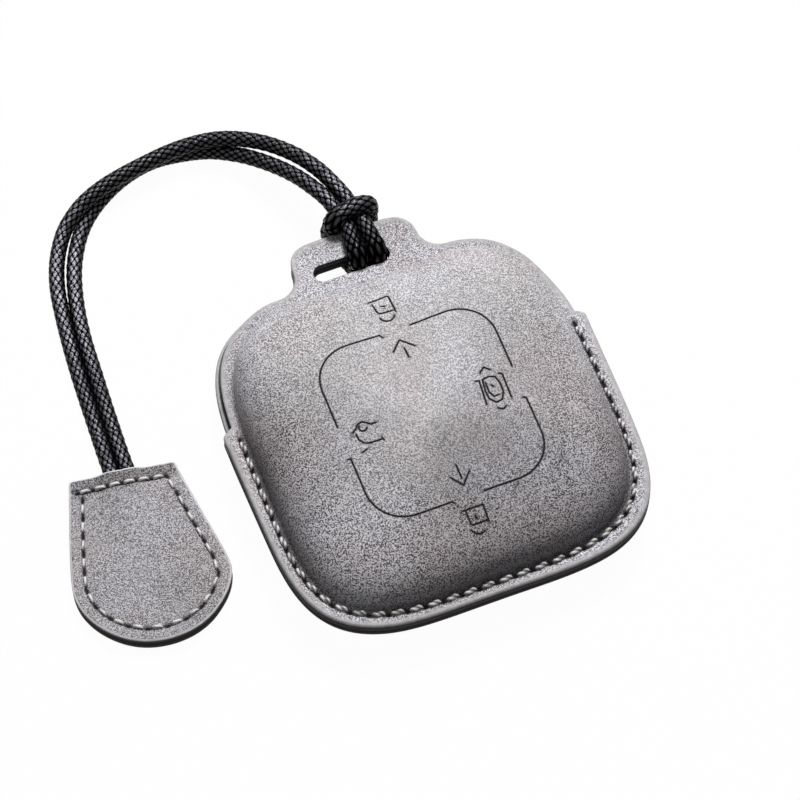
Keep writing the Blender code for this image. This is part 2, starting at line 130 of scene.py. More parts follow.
def evenly(points, count, closed=True):
    """The same line walked in equal steps."""
    line = joined(points) if closed else np.asarray(points)
    reach = reach_along(line)
    at = np.linspace(0, reach[-1], count, endpoint=not closed)
    return np.stack([np.interp(at, reach, line[:, k]) for k in range(line.shape[1])], 1)


def full_turn(count):
    return np.linspace(0, 2 * math.pi, count + 1)[:-1]


def arc(centre, radius, start, end, steps):
    turn = np.linspace(math.radians(start), math.radians(end), steps + 1)
    return np.stack([centre[0] + radius * np.cos(turn), centre[1] + radius * np.sin(turn)], 1)


def pouch_rim(inset, count=760):
    """The leather's outline: the wide stitched half, a small shoulder, the mouth half and the pull tab."""
    upper = UPPER_WIDTH - inset
    reach = UPPER_REACH - inset
    tab_half, tab_corner, tab_fillet = 0.0130, 0.0050, 0.0053
    shoulder_start, shoulder_end = 0.0124, 0.0141
    dense = np.linspace(-math.pi / 2, math.pi / 2, 1200)
    low = squircle(dense, LOWER_WIDTH, LOWER_REACH, SQUARENESS)
    high = squircle(dense, upper, reach, 4.2)
    low = low[low[:, 1] < shoulder_start]
    high = high[(high[:, 1] > shoulder_end) & (high[:, 0] > tab_half + tab_fillet)]
    rise = np.linspace(0, 1, 7)[1:-1]
    ease = rise * rise * (3 - 2 * rise)
    step = low[-1] + (high[0] - low[-1]) * np.stack([ease, rise], 1)
    root = high[-1]
    fillet = arc((root[0], root[1] + tab_fillet), tab_fillet, -90, -180, 14)[1:]
    fillet[:, 0] += tab_half + tab_fillet - root[0]
    corner = arc((tab_half - tab_corner, TAB_TOP - MIDDLE - tab_corner), tab_corner, 0, 90, 14)
    half = np.vstack([low, step, high, fillet, corner])
    loop = evenly(np.vstack([half, (half * [-1, 1])[::-1]]), count)
    return loop + normals_of(loop) * hand_cut(loop)[:, None] + [0, MIDDLE]


def hand_cut(loop):
    """How far the leather, cut by hand, strays outwards from the even outline in each direction."""
    turn = np.degrees(np.arctan2(loop[:, 1], loop[:, 0]))
    at = [-165, -138, -129, -120, -97, -84, -70, -54, -38, -21, 7, 16, 25, 30, 35, 40, 44, 51, 60, 69, 74,
          78, 90, 100, 107, 112, 118, 126, 140, 159, 170]
    stray = [0, 0, 0.25, 0.5, 0.4, 0.45, 0.65, 0.85, 0.35, 0, 0.25, 0.35, 0.5, 0, -0.45, -0.3, 0.1, 0.8, 0.9,
             0.8, 0.2, -0.4, 0, -0.2, -0.6, 0.3, 1.1, 0.6, 0.5, 0.5, 0.4]
    soft = np.interp(turn, at, stray, period=360)
    for _ in range(60):
        soft = (np.roll(soft, 1) + soft + np.roll(soft, -1)) / 3
    return soft / 1000


def slot_rim(count=110):
    right = arc((SLOT_RIGHT - SLOT_HALF, SLOT_MIDDLE), SLOT_HALF, -90, 90, 16)
    left = arc((SLOT_HALF - SLOT_LEFT, SLOT_MIDDLE), SLOT_HALF, 90, 270, 16)
    return evenly(np.vstack([right, left]), count)


def normals_of(loop):
    """Outward directions in plan along a closed loop that runs anticlockwise."""
    along = np.roll(loop, -1, 0) - np.roll(loop, 1, 0)
    side = np.stack([along[:, 1], -along[:, 0]], 1)
    return side / np.linalg.norm(side, axis=1, keepdims=True)


def pillow_foot(count):
    """The pillow's outline where it leaves the flange, about its own middle."""
    return evenly(squircle(full_turn(4000), PILLOW_WIDTH, PILLOW_LENGTH, SQUARENESS), count)


def pillow_share(plan):
    """0 at the pillow's middle and 1 at its foot."""
    x = np.abs(plan[:, 0]) / PILLOW_WIDTH
    y = np.abs(plan[:, 1] - PILLOW_MIDDLE) / PILLOW_LENGTH
    return (x ** 4 + y ** 4) ** 0.25


def from_tab(plan):
    """Degrees between a direction from the pillow's middle and the tab."""
    turn = np.degrees(np.arctan2(plan[:, 1] - PILLOW_MIDDLE, plan[:, 0])) - 90
    return np.abs((turn + 180) % 360 - 180)


def fullness(plan, up):
    """How square the pillow's side is: soft below the tab, full at the corners beside it."""
    if up < 0:
        return np.full(len(plan), PILLOW_POWER)
    return np.interp(from_tab(plan), [0, 14, 48, 85], [2.3, 2.5, 4.2, PILLOW_POWER])


def capped(value):
    """Held between 0 and 1."""
    return np.clip(value, 0, 1)


def crown(share, rise, power):
    """Height of the pillow over its foot."""
    return rise * capped(1 - share ** power) ** (1 / power)


def mouth_spring(plan):
    """How far the unstitched front edge stands up beside the tab."""
    beside = capped(1 - ((np.abs(plan[:, 0]) - 0.0205) / 0.0110) ** 2)
    reach = capped((plan[:, 1] - MIDDLE - 0.0240) / 0.0120)
    return SPRING * beside * reach ** 1.5


def to_segments(plan, lines):
    """Distance from each plan point to the nearest of some drawn lines."""
    nearest = np.full(len(plan), 1.0)
    for line in lines:
        for a, b in zip(line[:-1], line[1:]):
            run = b - a
            along = capped(((plan - a) @ run) / (run @ run))
            gap = np.linalg.norm(plan - a - along[:, None] * run, axis=1)
            nearest = np.minimum(nearest, gap)
    return nearest


def inside(plan, loop):
    """Which plan points a closed loop holds."""
    held = np.zeros(len(plan), bool)
    for a, b in zip(loop, np.roll(loop, -1, 0)):
        spans = (a[1] > plan[:, 1]) != (b[1] > plan[:, 1])
        rise = b[1] - a[1] if b[1] != a[1] else 1.0
        crosses = plan[:, 0] < (b[0] - a[0]) * (plan[:, 1] - a[1]) / rise + a[0]
        held ^= spans & crosses
    return held


def give_field(mesh, name, values):
    """A named number for each point of a mesh."""
    mesh.attributes.new(name, "FLOAT", "POINT").data.foreach_set("value", values.astype(np.float32))


def stand(name, data):
    """A new object in the scene for a mesh, a lamp or a camera."""
    made = bpy.data.objects.new(name, data)
    bpy.context.scene.collection.objects.link(made)
    return made


class Skin:
    """A surface gathered point by point, with how much edge paint, and painted shade with it, each point
    has.
    """

    def __init__(self):
        self.points, self.paint, self.faces = [], [], []
        self.count = 0

    def add(self, plan, height, paint=0.0):
        height = np.broadcast_to(height, len(plan))
        self.points.append(np.column_stack([plan, height]))
        self.paint.append(np.broadcast_to(paint, len(plan)).astype(float))
        first = self.count
        self.count += len(plan)
        return np.arange(first, self.count)

    def shift(self, rise):
        """Lifts every point by its own amount."""
        start = 0
        for part in self.points:
            part[:, 2] += rise[start:start + len(part)]
            start += len(part)

    def strip(self, rings):
        """Faces from each ring to the next."""
        for one, other in zip(rings, rings[1:]):
            for a, b, c, d in zip(one, np.roll(one, -1), np.roll(other, -1), other):
                self.faces.append((int(a), int(b), int(c), int(d)))

    def tube(self, rings):
        """A tube through rings, closed at both ends."""
        self.strip(rings)
        self.faces.append(tuple(int(k) for k in rings[0]))
        self.faces.append(tuple(int(k) for k in rings[-1][::-1]))

    def fill(self, rings, loose):
        """Triangles between closed rings, the outermost first, through loose points."""
        everything = np.vstack(self.points)
        order = np.concatenate(list(rings) + [loose]).astype(int)
        corners = [Vector(spot) for spot in (everything[order, :2] * 1000).tolist()]
        edges, start = [], 0
        for ring in rings:
            edges += [(start + k, start + (k + 1) % len(ring)) for k in range(len(ring))]
            start += len(ring)
        made = delaunay_2d_cdt(corners, edges, [], 1, 1e-6)
        places = np.array([tuple(corner) for corner in made[0]]) / 1000
        faces = np.array(made[2])
        solid = np.ones(len(faces), bool)
        for ring in rings[1:]:
            solid &= ~inside(places[faces].mean(1), everything[ring, :2])
        back = [int(order[source[0]]) for source in made[3]]
        self.faces += [tuple(back[corner] for corner in face) for face in faces[solid].tolist()]

    def build(self, name, marks=None):
        """The closed mesh, its faces turned outwards, with its edge paint and painted shade and other marks.
        """
        mesh = bpy.data.meshes.new(name)
        mesh.from_pydata(np.vstack(self.points).tolist(), [], self.faces)
        give_field(mesh, "edge_paint_and_shade", np.concatenate(self.paint))
        for field_name, values in (marks or {}).items():
            give_field(mesh, field_name, values)
        shape = bmesh.new()
        shape.from_mesh(mesh)
        bmesh.ops.recalc_face_normals(shape, faces=shape.faces)
        shape.to_mesh(mesh)
        shape.free()
        mesh.shade_smooth()
        return stand(name, mesh)


def grid(low, high, pitch):
    """Loose plan points in staggered rows."""
    rows = []
    for number, y in enumerate(np.arange(low[1], high[1], pitch * 0.866)):
        x = np.arange(low[0] + pitch / 2 * (number % 2), high[0], pitch)
        rows.append(np.stack([x, np.full(len(x), y)], 1))
    return np.vstack(rows)


def rim_rings(skin, loop, away, outer_z, inner_z, up, rounding, sealed=None, shade_run_over=0, inner_steps=()):
    """Rings over a cut edge: from the outer face, over the rounding, down the wall, to the inner face.
    sealed is 1 where the two sheets are glued and painted as one edge, 0 where the edge is free."""
    sealed = np.zeros(len(loop)) if sealed is None else sealed
    # painted shade: along the near and left side, away from the lamp, the dark edge paint is carried over
    # the rounding
    over = capped(-away @ [0.45, 0.89] * 1.6) * sealed * shade_run_over
    rings = []
    for turn in np.linspace(0, 90, 10):
        back = rounding * (1 - math.sin(math.radians(turn)))
        drop = rounding * (1 - math.cos(math.radians(turn)))
        paint = capped((turn - 54 + 46 * over) / (30 + 24 * over))
        rings.append(skin.add(loop - away * np.reshape(back, (-1, 1)), outer_z - up * drop, paint))
    free = INNER_ROUND * (1 - sealed)
    for turn in (90, 60, 30, 0):
        back = free * (1 - math.sin(math.radians(turn))) + CORNER_ROOM
        drop = free * (1 - math.cos(math.radians(turn))) - SHEET_GAP / 2 * sealed
        paint = np.maximum(sealed, capped((turn - 60) / 20))
        rings.append(skin.add(loop - away * back[:, None], inner_z + up * drop, paint))
    for step in inner_steps:
        rings.append(skin.add(loop - away * step, inner_z - up * SHEET_GAP / 2 * sealed, 0.0))
    skin.strip(rings)
    return rings[0], rings[-1]


def ringed_hole(spot):
    """Close points on rings round a needle hole."""
    rings = []
    for radius, number in ((0.0, 1), (0.0002, 6), (0.0004, 9), (0.0006, 11), (0.0008, 13), (0.0010, 15)):
        turn = full_turn(number)
        rings.append(spot + radius * np.stack([np.cos(turn), np.sin(turn)], 1))
    return np.vstack(rings)


def ring_the_holes(loose, spots):
    """Loose points cleared away round each needle hole, and close rings of points put there instead."""
    near = np.linalg.norm(loose[:, None] - spots[None], axis=2).min(1)
    return np.vstack([loose[near > HOLE_ROOM]] + [ringed_hole(spot) for spot in spots])


def pulled_tight(spots):
    """1 along the pouch's right side, where the thread is pulled tightest and the holes gape."""
    return capped((spots[:, 0] - 0.026) / 0.004) * capped((spots[:, 1] + 0.022) / 0.008)


def hole_hollow(plan, holes, long, wide):
    """Depth of the leather drawn down round the pulled needle holes, and the painted shade in and round each
    hole.
    """
    gap = np.full(len(plan), 9.0)
    gaping = 1 + 0.45 * pulled_tight(holes)
    for hole, run, longer in zip(holes, np.gradient(holes, axis=0), gaping):
        run = run / np.linalg.norm(run)
        off = plan - hole
        across = off[:, 0] * run[1] - off[:, 1] * run[0]
        gap = np.minimum(gap, np.hypot(off @ run / (long * longer), across / wide))
    hollow = np.exp(-gap ** 2)
    return HOLE_DEPTH * hollow + HOLE_DISH * np.exp(-(gap / 2.3) ** 2), capped(hollow * 2.2 - 0.4)


def top_points(pressed, edge_share):
    """Loose points over the pillow's top, close together beside each pressed line."""
    low, high = BACK_LOW.xy, BACK_HIGH.xy
    loose = grid(low, high, COARSE)
    loose = loose[pillow_share(loose) < edge_share - 0.02]
    if pressed is None:
        return loose
    loose = loose[to_segments(loose, pressed) > 0.0009]
    fine = grid(low, high, FINE)
    gap = to_segments(fine, pressed)
    fine = fine[(gap > 0.00056) & (gap < 0.0012)]
    beside = []
    for line in pressed:
        walk = evenly(line, max(3, int(length_of(line) / 0.00015) + 1), closed=False)
        along = np.gradient(walk, axis=0)
        across = np.stack([along[:, 1], -along[:, 0]], 1)
        across /= np.linalg.norm(across, axis=1, keepdims=True)
        for side in (0, 0.00006, 0.00012, PRESS_HALF, 0.00028, FINE):
            for offset in ((0,) if side == 0 else (side, -side)):
                spots = walk + across * offset
                beside.append(spots[to_segments(spots, pressed) > side - 0.00003])
    beside = np.vstack(beside)
    _, kept = np.unique(np.round(beside / 0.00005), axis=0, return_index=True)
    return np.vstack([loose, fine, beside[np.sort(kept)]])


def shade_highlight_and_grain(plan):
    """Painted shade on the pillow's sides and in a ring round its pale middle, darkest on the left and on
    the near side, away from the lamp; how pale the leather is where the pillow stretches it, with a painted
    highlight that grows towards the tab; and how deep its specks are."""
    share = pillow_share(plan)
    turn = np.degrees(np.arctan2(plan[:, 1] - PILLOW_MIDDLE, plan[:, 0]))
    # painted shade round the pillow, by direction: darkest away from the lamp, at the foot and on the top
    round_the_pillow = [0, 45, 90, 135, 175, 200, 225, 250, 270, 315, 340]
    at_foot = [0.36, 0.10, 0.04, 0.20, 1.25, 1.12, 0.76, 1.15, 1.34, 1.45, 0.90]
    on_top = [0.50, 0.12, 0.22, 0.11, 0.46, 0.32, 0.30, 0.60, 0.82, 0.76, 0.44]
    foot = capped((share - 0.65) / 0.33) ** 1.8 * capped((1.045 - share) / 0.03)
    rise_in = capped((share - 0.03) / 0.27)
    ring = rise_in * (2 - rise_in) * capped((0.93 - share) / 0.26)
    dark = foot * np.interp(turn, round_the_pillow, at_foot, period=360)
    dark = dark + ring * np.interp(turn, round_the_pillow, on_top, period=360)
    right_side = capped(plan[:, 0] / 0.02) * capped((plan[:, 1] + 0.028) / 0.02)
    upper_half = capped(plan[:, 1] / UPPER_FADE)
    from_centre = capped(np.hypot(plan[:, 0], plan[:, 1]) / 0.020 - 0.35)
    # paler where stretched over the pillow, and up to four times more towards the tab: a painted highlight
    stretch_and_highlight = capped((1.0 - share) / 0.22) * (1 + 3.0 * capped(plan[:, 1] / TOP_FADE))
    on_pillow = 0.61 + (0.44 - 0.14 * right_side - 0.20 * upper_half) * from_centre
    return dark, stretch_and_highlight, np.where(stretch_and_highlight > 0, on_pillow, 0.90 - 0.04 * upper_half)


def moulded_leather(name, rim, face_z, up, rise, pressed, seam_spots, flat_at=None):
    """One moulded sheet. up is 1 for the front and -1 for the back; flat_at levels the pillow's top."""
    skin = Skin()
    inner_z = face_z - up * SHEET
    sealed = capped((MOUTH_LINE - 0.0005 - rim[:, 1]) / 0.003)
    rounding = FREE_ROUND + (RIM_ROUND - FREE_ROUND) * sealed
    outer_top, inner_top = rim_rings(skin, rim, normals_of(rim), face_z, inner_z, up, rounding, sealed, 1,
                                     (0.00058, 0.00070, 0.00080))
    slot = slot_rim()
    slot_top, slot_inner = rim_rings(skin, slot, -normals_of(slot), face_z, inner_z, up, FREE_ROUND)

    def level(height):
        if flat_at is None:
            return height
        over = (height - flat_at) / SOFT_FLAT
        return height - SOFT_FLAT * np.log1p(np.exp(np.clip(over, -40, 40)))

    def height_at(plan):
        height = level(crown(pillow_share(plan), rise, fullness(plan, up)))
        if pressed is not None:
            gap = to_segments(plan, pressed)
            height = height - PRESS_DEPTH * capped(1 - (gap / PRESS_HALF) ** 2) ** 1.1
            height = height + LIP_HEIGHT * np.exp(-((gap - LIP_PLACE) / LIP_WIDTH) ** 2)
        return face_z + up * height

    # The pillow's foot and its side
    around = pillow_foot(420)
    outward = normals_of(around)
    power = fullness(around + PILLOW_CENTRE, up)
    runout = np.interp(from_tab(around + PILLOW_CENTRE), [0, 16, 30], [2.8, 2.6, 1.0])
    foot_reach = outward * (FOOT_FILLET * (runout if up > 0 else np.ones(len(around))))[:, None]
    rings = []
    for turn in np.linspace(0, 84, 8):
        back = foot_reach * (1 - math.sin(math.radians(turn)))
        lift = FOOT_FILLET * (1 - math.cos(math.radians(turn)))
        rings.append(skin.add(around + back + PILLOW_CENTRE, face_z + up * lift))
    top_share = 0.86
    start = np.arcsin((FOOT_FILLET / rise) ** (power / 2))
    end = np.arccos(top_share ** (power / 2))
    for step in np.linspace(0, 1, 26):
        turn = start + (end - start) * step
        share = np.cos(turn) ** (2 / power)
        lift = level(rise * np.sin(turn) ** (2 / power))
        rings.append(skin.add(around * share[:, None] + PILLOW_CENTRE, face_z + up * lift))
    skin.strip(rings)
    loose = top_points(pressed, top_share)
    skin.fill([rings[-1]], skin.add(loose, height_at(loose)))

    # The flat flange and the tab, with close points round each stitch hole
    loose = ring_the_holes(grid(BACK_LOW.xy, BACK_HIGH.xy, MEDIUM), seam_spots)
    foot = around + foot_reach + outward * 0.00025 + PILLOW_CENTRE
    keep = inside(loose, rim - normals_of(rim) * (RIM_ROUND + EDGE_ROOM)) & ~inside(loose, foot)
    keep &= ~inside(loose, slot + normals_of(slot) * 0.0007)
    skin.fill([outer_top, slot_top, rings[0]], skin.add(loose[keep], face_z))

    # The inner face, a sheet's thickness away
    inset = around * (1 - SHEET / PILLOW_WIDTH)
    inner_rings = []
    for turn in np.linspace(0.02, math.pi / 2 * 0.94, 14):
        share = math.cos(turn) ** (2 / power)
        lift = level(rise * math.sin(turn) ** (2 / power)) * (turn > 0.03)
        inner_rings.append(skin.add(inset * share[:, None] + PILLOW_CENTRE, inner_z + up * lift))
    skin.strip(inner_rings)
    crest = skin.add(PILLOW_CENTRE[None], inner_z + up * level(np.array(rise)))
    skin.fill([inner_rings[-1]], crest)
    skin.fill([inner_top, slot_inner, inner_rings[0]], np.zeros(0, int))

    # What the finish needs to know of each point: holes and the painted shade in them and in the gaps,
    # pressed lines, rubbed rim, and the painted shade and highlight on the pillow
    height = np.vstack(skin.points)[:, 2]
    plan = np.vstack(skin.points)[:, :2]
    outer_face = up * (height - face_z) > -RIM_ROUND - 0.00005
    sink, recess_shade = hole_hollow(plan, seam_spots, 0.00080, 0.00056)
    # painted shade on the slot's wall, and in and round each needle hole
    slot_wall = to_segments(plan, [joined(slot)]) < 0.00012
    recess_shade = np.where(slot_wall, 1, recess_shade * outer_face)
    # painted shade: inside, the leather is darkened right up to the rubbed edge, for the shade in the gap
    # between the sheets
    from_edge = to_segments(plan, [joined(rim)])
    recess_shade = np.where((np.abs(height - inner_z) < 0.0002) & (from_edge > 0.00064), 0.9, recess_shade)
    dark, stretch_and_highlight, depth = shade_highlight_and_grain(plan)
    marks = {"painted_recess_shade": recess_shade, "pressed": np.zeros(len(plan)), "painted_shade_and_darkening": dark,
             "smooth_rim": capped((RIM_BAND - from_edge) / 0.0003 + 0.5), "stretch_and_highlight": stretch_and_highlight,
             "grain_depth": depth}
    if pressed is not None:
        gap = to_segments(plan, pressed)
        marks["pressed"] = np.where(outer_face, capped(1.7 - gap / 0.00017), 0)
    skin.shift(up * (-sink * outer_face + (mouth_spring(plan) if up > 0 else 0)))
    return skin.build(name, marks)


# Marks on the front. A rounded square with a gap in each side is pressed into the leather, with plain
# pictograms in and beside the gaps: a closed lock, two arrows, an open lock, a boot lid and a car.
def pressed_marks():
    def corner(sx, sy, tick=()):
        side, radius = 17.8, 7.6
        top = 17.9 if sy > 0 else 19.6
        gap_side = 2.4 if sy > 0 else 4.4
        turn = arc((side - radius, top - radius), radius, 90, 0, 14)
        line = np.vstack([[(3.2, top)], turn, [(side, gap_side)]]) * [sx, sy]
        return [line] + [np.array(short, float) for short in tick]

    def lines_of(*drawn):
        return [np.array(line, float) for line in drawn]

    lines = corner(1, 1)
    lines += corner(-1, 1, [[(-3.3, 17.9), (-2.9, 17.2)]])
    lines += corner(1, -1, [[(17.8, -4.4), (17.3, -4.2)]])
    lines += corner(-1, -1, [[(-3.3, -19.6), (-3.0, -20.0)], [(-17.8, -4.5), (-18.3, -4.4)]])
    # closed lock above the top gap
    lines += lines_of([(-2.4, 26.1), (1.5, 26.3), (1.7, 25.9), (1.7, 22.1)],
                      [(-1.9, 25.3), (-1.7, 23.2), (-1.3, 22.7), (1.2, 22.5)], [(-0.3, 24.3), (0.1, 24.1)])
    lines += [arc((-0.2, 21.9), 1.5, 190, 330, 9)]
    # arrows
    lines += lines_of([(-2.1, 13.4), (-0.1, 15.5), (2.1, 13.2)], [(0.1, 13.5), (0.2, 11.4)])
    lines += lines_of([(-1.8, -15.0), (-0.1, -17.3), (2.0, -14.9)], [(0.1, -13.0), (0.1, -15.8)])
    # open lock below the bottom gap
    lines += lines_of([(-2.0, -22.0), (1.9, -22.0), (1.8, -25.4)],
                      [(-1.6, -22.3), (-1.6, -24.7), (-1.3, -25.1)], [(-1.3, -25.1), (1.7, -25.1)],
                      [(-0.3, -23.5), (-0.1, -24.1)], [(-0.1, -23.5), (-0.3, -24.1)])
    lines += [arc((-0.4, -25.4), 1.6, 200, 305, 8)]
    # boot lid, in the left gap
    lines += lines_of([(-15.5, 0.4), (-14.6, 1.0), (-14.1, 1.7), (-13.2, 1.9), (-12.4, 1.4), (-11.7, 0.8),
                       (-10.7, 0.8)],
                      [(-15.1, -0.1), (-15.0, -1.4), (-14.3, -2.4), (-13.3, -2.8), (-10.6, -2.9)],
                      [(-15.3, -4.1), (-14.2, -3.8)], [(-10.8, -2.6), (-10.6, -3.1)])
    lines += [arc((-13.4, 0.7), 0.75, 130, 340, 9)]
    # car seen from above, in the right gap
    lines += lines_of([(10.1, 2.0), (10.7, 1.9), (10.2, -3.2)], [(14.8, 2.1), (15.4, 1.8), (15.2, -3.4)],
                      [(11.4, 1.9), (12.7, 2.1), (13.9, 1.7), (14.3, 0.2), (14.2, -1.8), (13.4, -3.3),
                       (12.1, -3.5), (11.1, -2.3), (11.0, -0.6), (11.4, 1.9)],
                      [(11.7, 1.1), (11.6, -1.0), (12.2, -2.2), (13.2, -2.1)], [(12.6, 0.2), (12.8, -0.1)],
                      [(11.6, 3.5), (12.6, 4.3), (13.5, 3.4)], [(11.9, -4.7), (12.8, -5.3), (13.5, -4.9)])
    # the marks above the side gaps are pressed a little further up
    upper = 0.00035
    return [line / 1000 + [0, MIDDLE + upper * (line[:, 1].mean() > 9)] for line in lines]


# Seam line of the pouch. Holes are punched about 3.6 mm apart round the stitched half, just outside
# the pillow's foot. The same line carries the thread on both faces.
SEAM_PITCH = 0.0036


def seam_line():
    seam_width, seam_reach, seam_top = 0.0347, 0.0344, 0.0110
    end = math.asin((seam_top / seam_reach) ** 2)
    dense = np.linspace(-math.pi - end, end, 2400)
    path = squircle(dense, seam_width, seam_reach, SQUARENESS) + [0, MIDDLE]
    return evenly(path, round(length_of(path) / SEAM_PITCH) + 1, closed=False)


seam_holes = seam_line()
front_leather = moulded_leather("front_leather", pouch_rim(FRONT_INSET), FRONT_FACE, 1,
                                PILLOW_TOP - FRONT_FACE, pressed_marks(), seam_holes)
back_leather = moulded_leather("back_leather", pouch_rim(0.0), BACK_FACE, -1, BACK_SAG, None, seam_holes,
                               flat_at=BACK_FACE - BACK_LOW.z)


# The leather's finish: pale grey waxed suede with fine dark worm-like specks, soft pinkish and bluish
# clouds, darker where it is pressed, and dark brown paint on every cut edge. Shade and highlight are also
# painted into it: on the pillow's sides and top, in the holes and gaps, and along the tag's rim.
def new_group(name, kind, inputs, outputs):
    """An empty node tree with sockets, given as pairs of a label and a kind."""
    tree = bpy.data.node_groups.new(name, kind)
    for way, sockets in (("INPUT", inputs), ("OUTPUT", outputs)):
        for label, socket in sockets:
            tree.interface.new_socket(label, in_out=way, socket_type="NodeSocket" + socket)
    return tree, tree.nodes.new("NodeGroupInput"), tree.nodes.new("NodeGroupOutput")


def fill_in(tree, node, inputs):
    """Links or fills in a node's inputs, by name or number."""
    for key, value in inputs.items():
        socket = node.inputs[key]
        if isinstance(value, bpy.types.NodeSocket):
            tree.links.new(value, socket)
        else:
            socket.default_value = value


def wire(tree, kind, inputs=None, **settings):
    """A new node with its settings and its inputs."""
    node = tree.nodes.new(kind)
    for key, value in settings.items():
        setattr(node, key, value)
    fill_in(tree, node, inputs or {})
    return node


def ramp(tree, value, *stops):
    """A colour ramp through (place, grey or colour) stops."""
    node = wire(tree, "ShaderNodeValToRGB", {"Fac": value})
    node.color_ramp.interpolation = "EASE"
    marks = node.color_ramp.elements
    for number, (place, colour) in enumerate(stops):
        mark = marks[number] if number < 2 else marks.new(place)
        mark.position = place
        shade = (colour,) * 3 if isinstance(colour, (int, float)) else colour
        mark.color = (*shade, 1)
    return node.outputs["Color"]


def maths(tree, operation, *values):
    return wire(tree, "ShaderNodeMath", dict(enumerate(values)), operation=operation).outputs[0]


def times(tree, one, other):
    return maths(tree, "MULTIPLY", one, other)


def mix_colour(tree, share, one, other, blend="MIX"):
    node = wire(tree, "ShaderNodeMix", {0: share, 6: one, 7: other}, data_type="RGBA", blend_type=blend)
    return node.outputs[2]


def noise(tree, place, scale, detail, **more):
    """Soft blotches between 0 and 1."""
    inputs = {"Vector": place, "Scale": scale, "Detail": detail, **more}
    return wire(tree, "ShaderNodeTexNoise", inputs).outputs["Fac"]


def speckle_group():
    """Dense worm-like specks and broad clouds of a waxed suede finish."""
    tree, given, out = new_group("waxed_suede_speckle", "ShaderNodeTree",
                                 [("Place", "Vector"), ("Fineness", "Float")],
                                 [(label, "Float") for label in ("Specks", "Clouds", "Warmth", "Height")])
    place = given.outputs["Place"]
    fine = given.outputs["Fineness"]
    worms = noise(tree, place, fine, 1.0, Roughness=0.6, Distortion=0.5)
    worms = ramp(tree, worms, (0.425, 1.0), (0.56, 0.0))
    cells = wire(tree, "ShaderNodeTexVoronoi", {"Vector": place, "Scale": times(tree, fine, 0.9)})
    dots = ramp(tree, cells.outputs["Distance"], (0.10, 1.0), (0.34, 0.0))
    both = maths(tree, "MAXIMUM", worms, times(tree, dots, 0.35))
    strength = ramp(tree, noise(tree, place, 120.0, 3.0), (0.3, 0.88), (0.65, 1.0))
    shifted = wire(tree, "ShaderNodeVectorMath", {0: place, 1: (0.31, 0.17, 0.05)}, operation="ADD")
    warmth = noise(tree, shifted.outputs[0], 70.0, 1.5)
    clouds = noise(tree, place, 52.0, 1.5, Roughness=0.4)
    fill_in(tree, out, {"Specks": times(tree, both, strength),
                        "Clouds": ramp(tree, clouds, (0.36, 0.0), (0.66, 1.0)),
                        "Warmth": ramp(tree, warmth, (0.42, 0.0), (0.68, 1.0)),
                        "Height": maths(tree, "SUBTRACT", 1.0, both)})
    return tree


def new_finish(name):
    made = bpy.data.materials.new(name)
    made.use_nodes = True
    tree = made.node_tree
    return made, tree, tree.nodes["Principled BSDF"]


def own_place(tree):
    """Where a point lies in the piece's own metres."""
    return wire(tree, "ShaderNodeTexCoord").outputs["Object"]


def field(tree, name):
    return wire(tree, "ShaderNodeAttribute", attribute_name=name).outputs["Fac"]


def emboss(tree, height, strength, depth):
    """A normal for relief too fine for the mesh."""
    inputs = {"Height": height, "Strength": strength, "Distance": depth}
    return wire(tree, "ShaderNodeBump", inputs).outputs[0]


def toned(colour, tone=1.0):
    return (*(part * tone for part in colour), 1)


suede_speckle = speckle_group()
BLUISH = (0.80, 0.785, 0.84)
GREY = (0.65, 0.63, 0.65)
PINKISH = (0.70, 0.635, 0.645)
WHITE = toned((1, 1, 1))
BETWEEN_SPECKS = toned((1.07, 1.07, 1.07))
SPECK_DARK = toned((0.11, 0.10, 0.105))
SHADE_AND_DARKENING_COLOUR = toned((0.10, 0.095, 0.10))
PRESSED_DARK = toned((0.007, 0.006, 0.006))
RECESS_SHADE_DARK = toned((0.004, 0.0035, 0.0035))


